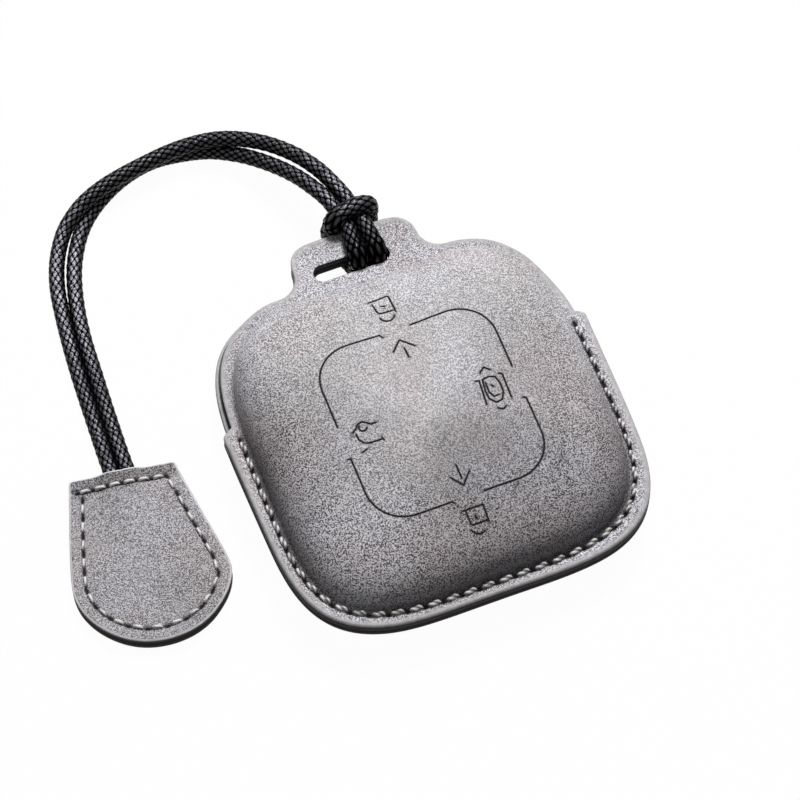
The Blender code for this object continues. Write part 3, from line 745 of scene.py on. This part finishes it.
def leather_finish(name, fineness=3900.0, tone=1.0, rim_highlight=1.0):
    made, tree, shader = new_finish(name)
    place = own_place(tree)
    speckle = wire(tree, "ShaderNodeGroup", {"Place": place, "Fineness": fineness}, node_tree=suede_speckle)
    specks = speckle.outputs["Specks"]
    ground = mix_colour(tree, speckle.outputs["Clouds"], toned(GREY, tone), toned(BLUISH, tone))
    ground = mix_colour(tree, times(tree, speckle.outputs["Warmth"], 0.75), ground, toned(PINKISH, tone))
    # stretched over the pillow the leather turns paler, and towards the tab a painted highlight is added
    ground = mix_colour(tree, times(tree, field(tree, "stretch_and_highlight"), 0.09), ground, WHITE)
    grains = mix_colour(tree, times(tree, specks, field(tree, "grain_depth")), BETWEEN_SPECKS, SPECK_DARK)
    colour = mix_colour(tree, 1.0, ground, grains, "MULTIPLY")
    # painted shade on the pillow's sides and round its middle; on the tag, a darker top border
    shade_and_darkening = mix_colour(tree, times(tree, field(tree, "painted_shade_and_darkening"), 0.62), WHITE, SHADE_AND_DARKENING_COLOUR)
    colour = mix_colour(tree, 1.0, colour, shade_and_darkening, "MULTIPLY")
    # the rounded rim is rubbed smooth, and painted dark where it turns down; a rim_highlight above 1 paints
    # a highlight along it
    rim = field(tree, "smooth_rim")
    rubbed = noise(tree, place, 700.0, 2.0)
    rim_colour = ramp(tree, rubbed, (0.3, (0.40 * rim_highlight, 0.39 * rim_highlight, 0.40 * rim_highlight)),
                      (0.7, (0.50 * rim_highlight, 0.49 * rim_highlight, 0.505 * rim_highlight)))
    colour = mix_colour(tree, times(tree, rim, 0.85), colour, rim_colour)
    colour = mix_colour(tree, field(tree, "pressed"), colour, PRESSED_DARK)
    # the edge paint also holds painted shade on the rounding, along the side away from the lamp
    paint = field(tree, "edge_paint_and_shade")
    painted = ramp(tree, rubbed, (0.3, (0.013, 0.010, 0.010)), (0.7, (0.026, 0.021, 0.021)))
    colour = mix_colour(tree, paint, colour, painted)
    # painted shade in the needle holes, on the slot's wall and in the gap between the sheets
    colour = mix_colour(tree, field(tree, "painted_recess_shade"), colour, RECESS_SHADE_DARK)
    rough = maths(tree, "ADD", 0.58, times(tree, specks, 0.2))
    height = times(tree, speckle.outputs["Height"], maths(tree, "SUBTRACT", 1.0, rim))
    height = maths(tree, "ADD", height, times(tree, rubbed, 0.3))
    fill_in(tree, shader, {"Base Color": colour,
                           "Roughness": maths(tree, "SUBTRACT", rough, times(tree, rim, 0.12)),
                           "Specular IOR Level": maths(tree, "SUBTRACT", 0.25, times(tree, paint, 0.12)),
                           "Normal": emboss(tree, height, 0.6, 0.00012)})
    return made


def dress(piece, finish, slot, *nodes):
    """Gives a piece its finish, in place of the solids that it stands for."""
    piece.data.materials.append(finish)
    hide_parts(*nodes)


pouch_leather = leather_finish("pouch_leather")
dress(front_leather, pouch_leather, "grained_leather", "front_shell", "front_flap")
dress(back_leather, pouch_leather, "grained_leather", "back_shell")
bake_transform(front_leather)
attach(back_leather, "pouch")


# Lining. A thin dark brushed cloth is glued inside each moulded pillow, a shade smaller than the leather.
LINING_INSET = SHEET + 0.0003
LINING_THICK = 0.0006


def lining_cloth(name, start_z, up, rise, flat_at=None):
    around = pillow_foot(160)
    around = around * (1 - LINING_INSET / PILLOW_WIDTH)
    power = fullness(around + PILLOW_CENTRE, up)
    skin = Skin()
    shells = []
    for inset in (0.0, LINING_THICK):
        rings = []
        for turn in np.linspace(0.0, math.pi / 2 * 0.94, 16):
            share = math.cos(turn) ** (2 / power)
            lift = (rise - inset) * math.sin(turn) ** (2 / power)
            if flat_at is not None:
                lift = np.minimum(lift, flat_at - inset)
            scale = share * (1 - inset / PILLOW_WIDTH)
            rings.append(skin.add(around * scale[:, None] + PILLOW_CENTRE, start_z + up * lift))
        skin.strip(rings)
        skin.fill([rings[-1]], np.zeros(0, int))
        shells.append(rings[0])
    skin.strip(shells)
    return skin.build(name)


def lining_finish():
    made, tree, shader = new_finish("brushed_lining")
    place = own_place(tree)
    nap = noise(tree, place, 2600.0, 3.0)
    shade = times(tree, nap, noise(tree, place, 140.0, 2.0))
    colour = ramp(tree, shade, (0.1, (0.012, 0.012, 0.013)), (0.5, (0.07, 0.069, 0.072)))
    fill_in(tree, shader, {"Base Color": colour, "Normal": emboss(tree, nap, 0.5, 0.0001),
                           "Roughness": 0.92, "Sheen Weight": 0.3})
    return made


front_lining = lining_cloth("front_lining_cloth", FRONT_LOW.z, 1, PILLOW_TOP - LINING_INSET - FRONT_LOW.z)
back_lining = lining_cloth("back_lining_cloth", BACK_HIGH.z, -1,
                           BACK_HIGH.z - BACK_FACE + BACK_SAG - LINING_INSET,
                           BACK_HIGH.z - BACK_LOW.z - LINING_INSET)
lining_material = lining_finish()
dress(front_lining, lining_material, "lining_cloth", "front_lining", "front_flap_lining")
dress(back_lining, lining_material, "lining_cloth", "back_lining")
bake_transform(front_lining)
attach(back_lining, "pouch")


# Seam thread. One thick waxed two-ply thread runs in and out of the holes. Each stitch lies on the
# leather, leans a little across the seam, and dips into its hole at both ends.
PULLED_SHORTER = 0.22


def stitch_form(name, long, thick, turns, least_ply_light=0.0):
    """One stitch along X: two plies twisted together, drawn down at the ends, with painted shade between the
    plies and where it dips at the ends.
    """
    steps, sides = 16, 8
    around = full_turn(sides)
    skin = Skin()
    rings = []
    crest = []
    for step in range(steps + 1):
        share = step / steps
        end = abs(2 * share - 1)
        ply = np.abs(np.cos(around - turns * math.pi * share))
        radius = thick / 2 * (1 - 0.35 * end ** 5) * (0.70 + 0.36 * ply)
        y = radius * np.cos(around)
        z = radius * np.sin(around) + thick * 0.36 - 0.0010 * end ** 4
        rings.append(skin.add(np.stack([np.full(sides, (share - 0.5) * long), y], 1), z))
        crest.append((least_ply_light + (1 - least_ply_light) * ply) * (1 - end ** 6))
    skin.tube(rings)
    return skin.build(name, {"painted_ply_shade": np.concatenate(crest)})


def sewing_tree():
    """Places a stitch at each point of a line, along it, leaning by a set angle."""
    tree, given, out = new_group("lay_stitches", "GeometryNodeTree",
                                 [("Geometry", "Geometry"), ("Stitch", "Object"), ("Lean", "Float"),
                                  ("Upside down", "Float"), ("Thread", "Material")],
                                 [("Geometry", "Geometry")])

    def named(label):
        node = wire(tree, "GeometryNodeInputNamedAttribute", {"Name": label}, data_type="FLOAT")
        return node.outputs["Attribute"]

    uneven = wire(tree, "FunctionNodeRandomValue", {2: -0.06, 3: 0.06, "Seed": 4}, data_type="FLOAT")
    leaning = maths(tree, "ADD", named("heading"), given.outputs["Lean"])
    turned = maths(tree, "ADD", leaning, uneven.outputs[1])
    scale = wire(tree, "ShaderNodeCombineXYZ", {"X": named("length"), "Y": 1.0, "Z": 1.0})
    angles = wire(tree, "ShaderNodeCombineXYZ",
                  {"X": given.outputs["Upside down"], "Y": named("tilt"), "Z": turned})
    shape = wire(tree, "GeometryNodeObjectInfo", {"Object": given.outputs["Stitch"]})
    laid = wire(tree, "GeometryNodeInstanceOnPoints",
                {"Points": given.outputs["Geometry"], "Instance": shape.outputs["Geometry"],
                 "Rotation": angles.outputs[0], "Scale": scale.outputs[0]})
    real = wire(tree, "GeometryNodeRealizeInstances", {"Geometry": laid.outputs[0]})
    done = wire(tree, "GeometryNodeSetMaterial",
                {"Geometry": real.outputs[0], "Material": given.outputs["Thread"]})
    tree.links.new(done.outputs[0], out.inputs[0])
    return tree


def thread_finish():
    made, tree, shader = new_finish("waxed_thread")
    place = own_place(tree)
    strand = noise(tree, place, 3200.0, 2.0)
    broad = noise(tree, place, 420.0, 1.0)
    shade = times(tree, maths(tree, "ADD", 0.55, strand), maths(tree, "ADD", 0.45, broad))
    # painted shade between the plies and at the stitch's ends, where it dips into the holes
    shade = times(tree, shade, field(tree, "painted_ply_shade"))
    colour = ramp(tree, shade, (0.12, (0.02, 0.019, 0.019)), (0.52, (0.23, 0.225, 0.22)),
                  (0.92, (0.80, 0.79, 0.78)))
    fill_in(tree, shader, {"Base Color": colour, "Normal": emboss(tree, strand, 0.5, 0.00008),
                           "Roughness": 0.38})
    return made


seam_stitch = stitch_form("seam_stitch", 0.0030, 0.00090, 1.9)
stitching = sewing_tree()
thread_material = thread_finish()


def sew(name, stitch, holes, heights, up, lean):
    """A row of stitches between holes that lie at given heights, as one plain mesh."""
    spots = np.column_stack([holes, np.broadcast_to(heights, len(holes))])
    run = spots[1:] - spots[:-1]
    between = (spots[:-1] + spots[1:]) / 2
    line = bpy.data.meshes.new(name + "_line")
    line.from_pydata(between.tolist(), [], [])
    give_field(line, "heading", np.arctan2(run[:, 1], run[:, 0]))
    give_field(line, "tilt", -np.arctan2(run[:, 2], np.linalg.norm(run[:, :2], axis=1)))
    give_field(line, "length", 1 - PULLED_SHORTER * pulled_tight(between))
    carrier = stand(name + "_line", line)
    laying = carrier.modifiers.new("lay_stitches", "NODES")
    laying.node_group = stitching
    ids = {item.name: item.identifier for item in stitching.interface.items_tree if item.in_out == "INPUT"}
    laying[ids["Stitch"]] = stitch
    laying[ids["Lean"]] = float(lean)
    laying[ids["Upside down"]] = 0.0 if up > 0 else math.pi
    laying[ids["Thread"]] = thread_material
    bpy.context.view_layer.update()
    shown = carrier.evaluated_get(bpy.context.evaluated_depsgraph_get())
    mesh = bpy.data.meshes.new_from_object(shown)
    bpy.data.objects.remove(carrier, do_unlink=True)
    mesh.shade_smooth()
    row = stand(name, mesh)
    return row


front_seam = sew("seam_stitches_front", seam_stitch, seam_holes, FRONT_FACE, 1, 0.16)
back_seam = sew("seam_stitches_back", seam_stitch, seam_holes, BACK_FACE, -1, -0.16)
bpy.data.objects.remove(seam_stitch, do_unlink=True)
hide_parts("seam_thread_front")
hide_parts("seam_thread_back")
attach(front_seam, "pouch")
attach(back_seam, "pouch")


# Tag. Two small leather shapes like a rounded shield are sewn back to back over the two cord ends,
# which raise the leather where they enter between the layers.
TAG_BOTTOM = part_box("tag_back")[0].z
TAG_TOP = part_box("tag_front")[1].z
TAG_LEAN = math.radians(4.6)
TAG_HOOK = np.array([-0.05715, 0.01175])
TAG_RIM_ROUND = 0.00045
CORD_ENDS = (-0.0020, 0.0012)
SWELL = 0.0013
HOLLOW = 0.0011
TAG_SEAM_INSET = 0.0026
TAG_SEAM_TOP = -0.0046
TAG_PITCH = 0.0037
TAG_TOP_ROW = ((-0.0093, -0.0030), (0.0078, -0.0042))
TAG_FIELD = ((-0.016, -0.038), (0.016, 0.0))
TAG_FINE, TAG_COARSE = 0.0006, 0.0012
# The tag's edge in millimetres from the middle of its top, down its left side and up its right
TAG_EDGE = [(-10.4, -0.1), (-11.2, -3.3), (-12.0, -6.7), (-12.9, -10.2), (-13.7, -13.7), (-14.5, -17.2),
            (-15.1, -20.4), (-15.4, -23.4), (-14.9, -26.6), (-13.4, -29.8), (-11.1, -32.6), (-8.2, -34.9),
            (-5.0, -36.4), (-1.6, -37.1), (1.8, -37.1), (5.2, -36.4), (8.4, -34.9), (11.2, -32.6),
            (13.5, -29.8), (14.8, -26.6), (14.7, -23.6), (14.1, -20.6), (13.5, -17.6), (12.8, -14.5),
            (12.1, -11.1), (11.3, -7.3), (10.6, -3.8), (10.2, -1.6)]


def smooth_path(route, step):
    """A smooth curve through a route's points, walked in even steps."""
    knots = np.array(route, float)
    knots = np.vstack([2 * knots[0] - knots[1], knots, 2 * knots[-1] - knots[-2]])
    dense = []
    share = np.linspace(0, 1, 40, endpoint=False)[:, None]
    for a, b, c, d in zip(knots, knots[1:], knots[2:], knots[3:]):
        bend = (2 * a - 5 * b + 4 * c - d) * share ** 2 + (3 * b - a - 3 * c + d) * share ** 3
        dense.append((2 * b + (c - a) * share + bend) / 2)
    dense = np.vstack(dense + [knots[-2][None]])
    return evenly(dense, int(length_of(dense) / step) + 1, closed=False)


tag_side = smooth_path(np.array(TAG_EDGE) / 1000, 0.0002)


def tag_outline(count=300):
    """The tag's outline before it is laid, anticlockwise, its two top corners barely rounded."""
    loop = evenly(tag_side, count)
    for _ in range(3):
        loop = (np.roll(loop, 1, 0) + 2 * loop + np.roll(loop, -1, 0)) / 4
    return loop


def tag_holes():
    """Needle holes: a row along the top edge, then down the right side, round the end and up the left."""
    side = tag_side[::-1]
    run = np.gradient(side, axis=0)
    run /= np.linalg.norm(run, axis=1, keepdims=True)
    inner = side + np.stack([run[:, 1], -run[:, 0]], 1) * TAG_SEAM_INSET
    inner = inner[inner[:, 1] < TAG_SEAM_TOP]
    top = evenly(np.array(TAG_TOP_ROW), 7, closed=False)
    return np.vstack([top, evenly(inner, round(length_of(inner) / TAG_PITCH) + 1, closed=False)[1:]])


def lay_tag(plan):
    """Turns and moves tag places to where the tag lies."""
    c, s = math.cos(TAG_LEAN), math.sin(TAG_LEAN)
    x = plan[:, 0] * c + plan[:, 1] * s
    y = -plan[:, 0] * s + plan[:, 1] * c
    return np.stack([x, y], 1) + TAG_HOOK


def tag_swell(plan):
    """How much the cord ends raise the leather, in tag places."""
    over = np.zeros(len(plan))
    for end in CORD_ENDS:
        over = np.maximum(over, np.exp(-(np.abs(plan[:, 0] - end) / 0.0025) ** 3))
    return over * capped(1 + plan[:, 1] / 0.0105) ** 1.4


def tag_leather(name, outer_z, up, holes, swell, hollow):
    """One side of the tag. swell lifts it over the cord ends, hollow presses only its inner face."""
    skin = Skin()
    outline = tag_outline()
    away = normals_of(outline)
    inner_z = outer_z - up * SHEET
    glued = 1 - tag_swell(outline) ** 0.5
    outer_top, inner_top = rim_rings(skin, outline, away, outer_z, inner_z, up, TAG_RIM_ROUND, glued)
    loose = grid(*TAG_FIELD, TAG_FINE)
    loose = loose[inside(loose, outline - away * (TAG_RIM_ROUND + EDGE_ROOM))]
    skin.fill([outer_top], skin.add(ring_the_holes(loose, holes), outer_z))
    back = grid(*TAG_FIELD, TAG_COARSE)
    back = back[inside(back, outline - away * 0.0008)]
    skin.fill([inner_top], skin.add(back, inner_z))
    plan = np.vstack(skin.points)
    outer_face = up * (plan[:, 2] - outer_z) > -TAG_RIM_ROUND - 0.00005
    sink, recess_shade = hole_hollow(plan[:, :2], holes, 0.00095, 0.00040)
    raised = tag_swell(plan)
    skin.shift(up * (swell * raised - np.where(outer_face, sink, hollow * raised)))
    from_edge = to_segments(plan[:, :2], [joined(outline)])
    for part in skin.points:
        part[:, :2] = lay_tag(part[:, :2])
    none = np.zeros(len(plan))
    # above the top row of stitches the leather is darker, and its specks are deeper
    border = capped((plan[:, 1] - TAG_SEAM_TOP) / 0.0010)
    # the tag's smooth rim is strengthened 1.2 times for the painted highlight along its edge
    marks = {"painted_recess_shade": np.where(outer_face, recess_shade, 0), "pressed": none, "stretch_and_highlight": none,
             "smooth_rim": capped((0.00036 - from_edge) / 0.00012 + 0.5) * 1.2,
             "grain_depth": 0.90 + 0.4 * border, "painted_shade_and_darkening": 0.5 * border}
    return skin.build(name, marks)


holes = tag_holes()
tag_front = tag_leather("tag_front_leather", TAG_TOP, 1, holes, SWELL, 0.0)
tag_back = tag_leather("tag_back_leather", TAG_BOTTOM, -1, holes, 0.0, HOLLOW)
# the tag's rim colour is raised 1.6 times: a painted highlight along its edge
tag_material = leather_finish("tag_leather", fineness=4400.0, tone=0.79, rim_highlight=1.6)
for piece, node in ((tag_front, "tag_front"), (tag_back, "tag_back")):
    dress(piece, tag_material, "grained_leather", node)
    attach(piece, "tag")
tag_stitch = stitch_form("tag_stitch", 0.0025, 0.00070, 1.0, least_ply_light=0.55)
raised = TAG_TOP + SWELL * tag_swell(holes)
tag_seam_front = sew("tag_stitches_front", tag_stitch, lay_tag(holes), raised, 1, 0.10)
tag_seam_back = sew("tag_stitches_back", tag_stitch, lay_tag(holes), TAG_BOTTOM + 0.0006, -1, -0.10)
bpy.data.objects.remove(tag_stitch, do_unlink=True)
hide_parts("tag_thread_front")
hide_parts("tag_thread_back")
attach(tag_seam_front, "tag")
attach(tag_seam_back, "tag")


# Cord. One waxed braided cord, 3 mm thick, is doubled: its bend passes through both slots and over its
# own two strands as a hitch, and its two ends are sewn into the tag.
CORD = 0.0030
BRAID_PITCH = 0.00205
BRAID_CELLS = 8
BRAID_SIDES = 56
BRAID_STEP = 0.00017
SLACK_TWIST, SLACK_REACH = 0.26, 0.021
HITCH_ROUTE = [
    (0.0032, 0.0471, 0.0111), (0.00362, 0.0443, 0.011), (0.0041, 0.0415, 0.01175),
    (0.00435, 0.0385, 0.01205), (0.0046, 0.0359, 0.01195), (0.0046, 0.0346, 0.0114),
    (0.0046, 0.03405, 0.0101), (0.0046, 0.03405, 0.00835), (0.0046, 0.03405, 0.0066),
    (0.00465, 0.0346, 0.0053), (0.0048, 0.0359, 0.00475), (0.0053, 0.039, 0.0046),
    (0.0059, 0.0416, 0.00465), (0.0063, 0.043, 0.0053), (0.0065, 0.0437, 0.0069), (0.0066, 0.044, 0.0089),
    (0.00674, 0.0442, 0.0109), (0.00615, 0.0445, 0.0132), (0.0042, 0.0446, 0.01425),
    (0.0023, 0.0443, 0.0144), (0.0004, 0.04395, 0.0144), (-0.00185, 0.0436, 0.0134),
    (-0.0027, 0.0435, 0.011), (-0.00245, 0.04345, 0.0089), (-0.00235, 0.0434, 0.0071),
    (-0.00215, 0.0428, 0.0054), (-0.0018, 0.0415, 0.0047), (-0.0011, 0.039, 0.0046),
    (-0.0001, 0.0359, 0.00475), (0.00015, 0.0346, 0.0053), (0.0002, 0.03405, 0.0066),
    (0.0002, 0.03405, 0.00835), (0.0002, 0.03405, 0.0101), (0.0002, 0.0346, 0.0114),
    (0.00025, 0.0359, 0.01195), (0.0006, 0.0385, 0.01205), (0.00085, 0.0415, 0.01175),
    (0.00042, 0.0443, 0.011), (-5e-05, 0.0471, 0.011)]
OUTER_ROUTE = [
    (0.00307, 0.0476, 0.0111), (0.0024, 0.05, 0.0112), (0.00145, 0.0529, 0.0111), (0.0003, 0.0563, 0.0105),
    (-0.0017, 0.0605, 0.0095), (-0.0042, 0.0644, 0.0083), (-0.0074, 0.0681, 0.0071),
    (-0.0114, 0.071, 0.0063), (-0.0157, 0.073, 0.0056), (-0.0206, 0.0739, 0.0051),
    (-0.0255, 0.074, 0.0047), (-0.0305, 0.0733, 0.0047), (-0.0354, 0.0724, 0.0047),
    (-0.0397, 0.0713, 0.0047), (-0.0439, 0.0697, 0.0045), (-0.0474, 0.0677, 0.0039),
    (-0.0508, 0.0648, 0.0028), (-0.0537, 0.0602, 0.0017), (-0.0556, 0.0546, 0.0015),
    (-0.0567, 0.0481, 0.0015), (-0.0576, 0.0401, 0.0015), (-0.0582, 0.0321, 0.0015),
    (-0.05865, 0.023, 0.0015), (-0.059, 0.016, 0.0017), (-0.0591, 0.0123, 0.0018)]
INNER_ROUTE = [
    (-0.00014, 0.0476, 0.011), (-0.0009, 0.0499, 0.0109), (-0.002, 0.0528, 0.0102),
    (-0.0037, 0.0569, 0.0088), (-0.0059, 0.0611, 0.007), (-0.009, 0.0655, 0.0052),
    (-0.0125, 0.0693, 0.0036), (-0.0171, 0.0726, 0.0023), (-0.0224, 0.0744, 0.0016),
    (-0.0279, 0.075, 0.0015), (-0.0329, 0.0742, 0.0015), (-0.0378, 0.0723, 0.0015),
    (-0.0427, 0.0692, 0.0015), (-0.0466, 0.0654, 0.0015), (-0.0497, 0.0605, 0.0015),
    (-0.0518, 0.0554, 0.0015), (-0.0534, 0.0491, 0.0015), (-0.05445, 0.0421, 0.0015),
    (-0.05500, 0.0341, 0.0015), (-0.05555, 0.025, 0.0015), (-0.0560, 0.016, 0.0017),
    (-0.0561, 0.0121, 0.0018)]
# The hitch and the free strands are one cord; the change between them hides under the bight
JOIN = 0.0460


def braided_cord(name, path, glint_strength, phase=0.0, girth=1.0):
    """A round braid along a path: two sets of yarns wind opposite ways and cross over and under.
    glint_strength is how strong the painted glints are along the path."""
    along = np.gradient(path, axis=0)
    along /= np.linalg.norm(along, axis=1, keepdims=True)
    first = np.cross(along[0], (0, 0, 1.0))
    frames = [first / np.linalg.norm(first)]
    for heading in along[1:]:
        side = frames[-1] - heading * (frames[-1] @ heading)
        frames.append(side / np.linalg.norm(side))
    side = np.array(frames)
    other = np.cross(along, side)
    reach = reach_along(path)[:, None] + phase
    turn = full_turn(BRAID_SIDES)
    slack = SLACK_TWIST * np.sin(reach / SLACK_REACH)
    round_share = turn[None] / (2 * math.pi) * BRAID_CELLS + slack
    long_share = reach / BRAID_PITCH
    one, two = round_share + long_share, round_share - long_share
    over = (np.floor(one) + np.floor(two)) % 2
    yarn = np.where(over > 0, one % 1, two % 1)
    crosswise = np.where(over > 0, two % 1, one % 1)
    swell = np.sin(math.pi * yarn) ** 0.8 * (0.25 + 0.75 * np.sin(math.pi * crosswise) ** 0.7)
    radius = CORD / 2 * (0.965 + 0.12 * swell) * np.broadcast_to(girth, len(path))[:, None]
    spoke = np.cos(turn)[None, :, None] * side[:, None] + np.sin(turn)[None, :, None] * other[:, None]
    points = path[:, None] + radius[..., None] * spoke
    skin = Skin()
    skin.tube([skin.add(row[:, :2], row[:, 2]) for row in points])
    # painted highlight: the glints lie only along the cord's top, which faces the lamp
    lit_top = capped((spoke[..., 2] - 0.62) / 0.36) ** 2
    glint_strength = np.broadcast_to(glint_strength, len(path))[:, None]
    # where the painted glints are weak, the yarns' relief in the colour is flatter too
    swell = swell * capped(0.66 + 0.9 * glint_strength)
    return skin.build(name, {"yarn_swell": swell.ravel(), "yarn_across": yarn.ravel(),
                             "painted_glints": (lit_top * glint_strength).ravel()})


def cord_finish():
    made, tree, shader = new_finish("waxed_braid")
    place = own_place(tree)
    swell = field(tree, "yarn_swell")
    wax = noise(tree, place, 900.0, 2.0)
    shade = times(tree, swell, maths(tree, "ADD", 0.3, wax))
    # near-black, a little darker in the crevices between the yarns: painted shade
    black = ramp(tree, shade, (0.25, (0.0008, 0.0008, 0.0010)), (0.80, (0.011, 0.011, 0.015)))
    # painted glints: pale along the top of the cord, in fine lines that follow each yarn's strands
    glint_share = field(tree, "painted_glints")
    lines = maths(tree, "SINE", times(tree, field(tree, "yarn_across"), 18.85))
    patches = maths(tree, "ADD", noise(tree, place, 2300.0, 1.0), times(tree, glint_share, 0.12))
    pale = ramp(tree, patches, (0.48, 0.06), (0.68, 1.0))
    pale = times(tree, pale, ramp(tree, swell, (0.30, 0.0), (0.62, 1.0)))
    pale = times(tree, pale, ramp(tree, lines, (0.0, 0.55), (0.9, 1.0)))
    pale = times(tree, pale, glint_share)
    fill_in(tree, shader, {"Base Color": mix_colour(tree, pale, black, (0.66, 0.66, 0.76, 1)),
                           "Roughness": ramp(tree, wax, (0.40, 0.16), (0.60, 0.50)),
                           "Specular IOR Level": ramp(tree, swell, (0.30, 0.0), (0.90, 0.38)),
                           "Normal": emboss(tree, noise(tree, place, 5200.0, 2.0), 0.6, 0.00008)})
    return made


cord_material = cord_finish()
# Below this place a strand's last stretch is a piece of its own, and its end is this deep between the
# leathers
TAG_CORD_CUT = 0.0200
SEWN_IN = 0.007


def split_at_tag(route, phase):
    """The free strand, and its last stretch that runs in between the leathers."""
    entry = np.array(route[-1])
    inward = -np.array([math.sin(TAG_LEAN), math.cos(TAG_LEAN), 0])
    longer = list(route) + [tuple(entry + inward * 0.003), tuple(entry + inward * SEWN_IN)]
    path = smooth_path(longer, BRAID_STEP)
    path = path[np.argmax(path[:, 1] > JOIN):]
    free = path[:, 1] > TAG_CORD_CUT
    last = np.max(np.nonzero(free)[0])
    return path[:last + 1], path[last:], phase + length_of(path[:last + 1])


def painted_glints(path):
    """How strong the painted glints are: strongest on the straight part beside the tag, weakest over the
    arch.
    """
    straight = capped((-0.0450 - path[:, 0]) / 0.006)
    near_tag = np.interp(path[:, 1], [0.018, 0.030, 0.050], [0.62, 0.50, 1.15])
    return np.interp(path[:, 1], [0.050, 0.066], [0.85, 0.34]) * (1 - straight) + near_tag * straight


# each strand starts a little way inside the hitch, where the bight hides its end
for label, route, phase in (("outer", HITCH_ROUTE[2:0:-1] + OUTER_ROUTE, 0.0),
                            ("inner", HITCH_ROUTE[-3:-1] + INNER_ROUTE, 0.0004)):
    free, end, end_phase = split_at_tag(route, phase)
    strand = braided_cord("cord_strand_" + label + "_braid", free, painted_glints(free), phase)
    stub = braided_cord("cord_end_" + label + "_braid", end, painted_glints(end), end_phase)
    dress(strand, cord_material, "waxed_cord", "cord_strand_" + label)
    dress(stub, cord_material, "waxed_cord", "cord_strand_" + label)
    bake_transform(strand)
    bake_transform(stub)

hitch_route = OUTER_ROUTE[1::-1] + HITCH_ROUTE[1:-1] + INNER_ROUTE[:2]
hitch_path = smooth_path(hitch_route, BRAID_STEP)
below = np.nonzero(hitch_path[:, 1] < JOIN)[0]
hitch_path = hitch_path[below[0]:below[-1] + 1]
# Pulled tight, the cord flattens in the hitch: over its own strands, and in the slot, which it fills
bight = np.exp(-((hitch_path[:, 2] - 0.0150) / 0.0032) ** 2)
in_slot = capped((0.0375 - hitch_path[:, 1]) / 0.002)
left_turn = capped(-hitch_path[:, 0] / 0.0027) * capped((hitch_path[:, 2] - 0.0085) / 0.002)
pulled = hitch_path + bight[:, None] * [0, -0.0008, -0.0004] + left_turn[:, None] * [0.0013, -0.0003, 0]
pulled[:, 0] += in_slot * np.where(hitch_path[:, 0] > 0.0024, -0.00025, 0.00025)
# the painted glints fade down the legs into the slot, and on the bight and its left turn
legs = np.clip((hitch_path[:, 1] - 0.0350) / 0.0070, 0.08, 1)
hitch = braided_cord("cord_hitch_braid", pulled, 0.62 * legs * (1 - 0.35 * bight) * (1 - 0.8 * left_turn),
                     girth=1.02 + 0.13 * bight + 0.22 * in_slot + 0.34 * left_turn)
dress(hitch, cord_material, "waxed_cord", "cord_hitch")
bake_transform(hitch)


# The table, the light and the camera. The table is a pale sheet that shows as white to the camera with
# only a faint shadow; one big soft lamp stands behind and to the right of the pouch.
def seen_directly(tree):
    """1 for what the camera sees, straight, mirrored or through glass, and 0 for light on the pieces."""
    ray = tree.nodes.new("ShaderNodeLightPath")
    seen = maths(tree, "MAXIMUM", ray.outputs["Is Camera Ray"], ray.outputs["Is Glossy Ray"])
    return maths(tree, "MAXIMUM", seen, ray.outputs["Is Transmission Ray"])


def turned_to(thing, heading):
    thing.rotation_mode = "QUATERNION"
    thing.rotation_quaternion = heading.to_track_quat("-Z", "Y")


sheet, tree, shader = new_finish("pale_table")
fill_in(tree, shader, {"Base Color": (0.80, 0.80, 0.80, 1), "Roughness": 0.8})
white = wire(tree, "ShaderNodeEmission", {"Color": WHITE, "Strength": 1.0})
shown = wire(tree, "ShaderNodeMixShader",
             {0: times(tree, seen_directly(tree), 0.97), 1: shader.outputs[0], 2: white.outputs[0]})
tree.links.new(shown.outputs[0], tree.nodes["Material Output"].inputs["Surface"])
bpy.ops.mesh.primitive_plane_add(size=6)
table = bpy.context.object
table.name = "table"
table.data.materials.append(sheet)

soft_light = bpy.data.lights.new("soft_lamp", "AREA")
soft_light.shape = "DISK"
soft_light.size = 0.42
soft_light.energy = 14.0
lamp = stand("soft_lamp", soft_light)
lamp.location = (0.30, 0.50, 1.06)
turned_to(lamp, -lamp.location)

studio = bpy.data.worlds.new("studio")
bpy.context.scene.world = studio
studio.use_nodes = True
tree = studio.node_tree
room_light = 0.16
strength = maths(tree, "ADD", room_light, times(tree, seen_directly(tree), 1 - room_light))
fill_in(tree, tree.nodes["Background"], {"Color": WHITE, "Strength": strength})

ELEVATION, SWING, DISTANCE = math.radians(63.15), math.radians(21.29), 0.700
aim = Vector((-0.00305, 0.00273, 0.010))
look = Vector((math.sin(SWING) * math.cos(ELEVATION), math.cos(SWING) * math.cos(ELEVATION),
               -math.sin(ELEVATION)))
lens = bpy.data.cameras.new("photo_camera")
lens.sensor_width = 36
lens.lens = 163.9
lens.clip_start = 0.01
camera = stand("photo_camera", lens)
camera.location = aim - look * DISTANCE
turned_to(camera, look)
bpy.context.scene.camera = camera
bpy.context.scene.view_settings.view_transform = "Standard"
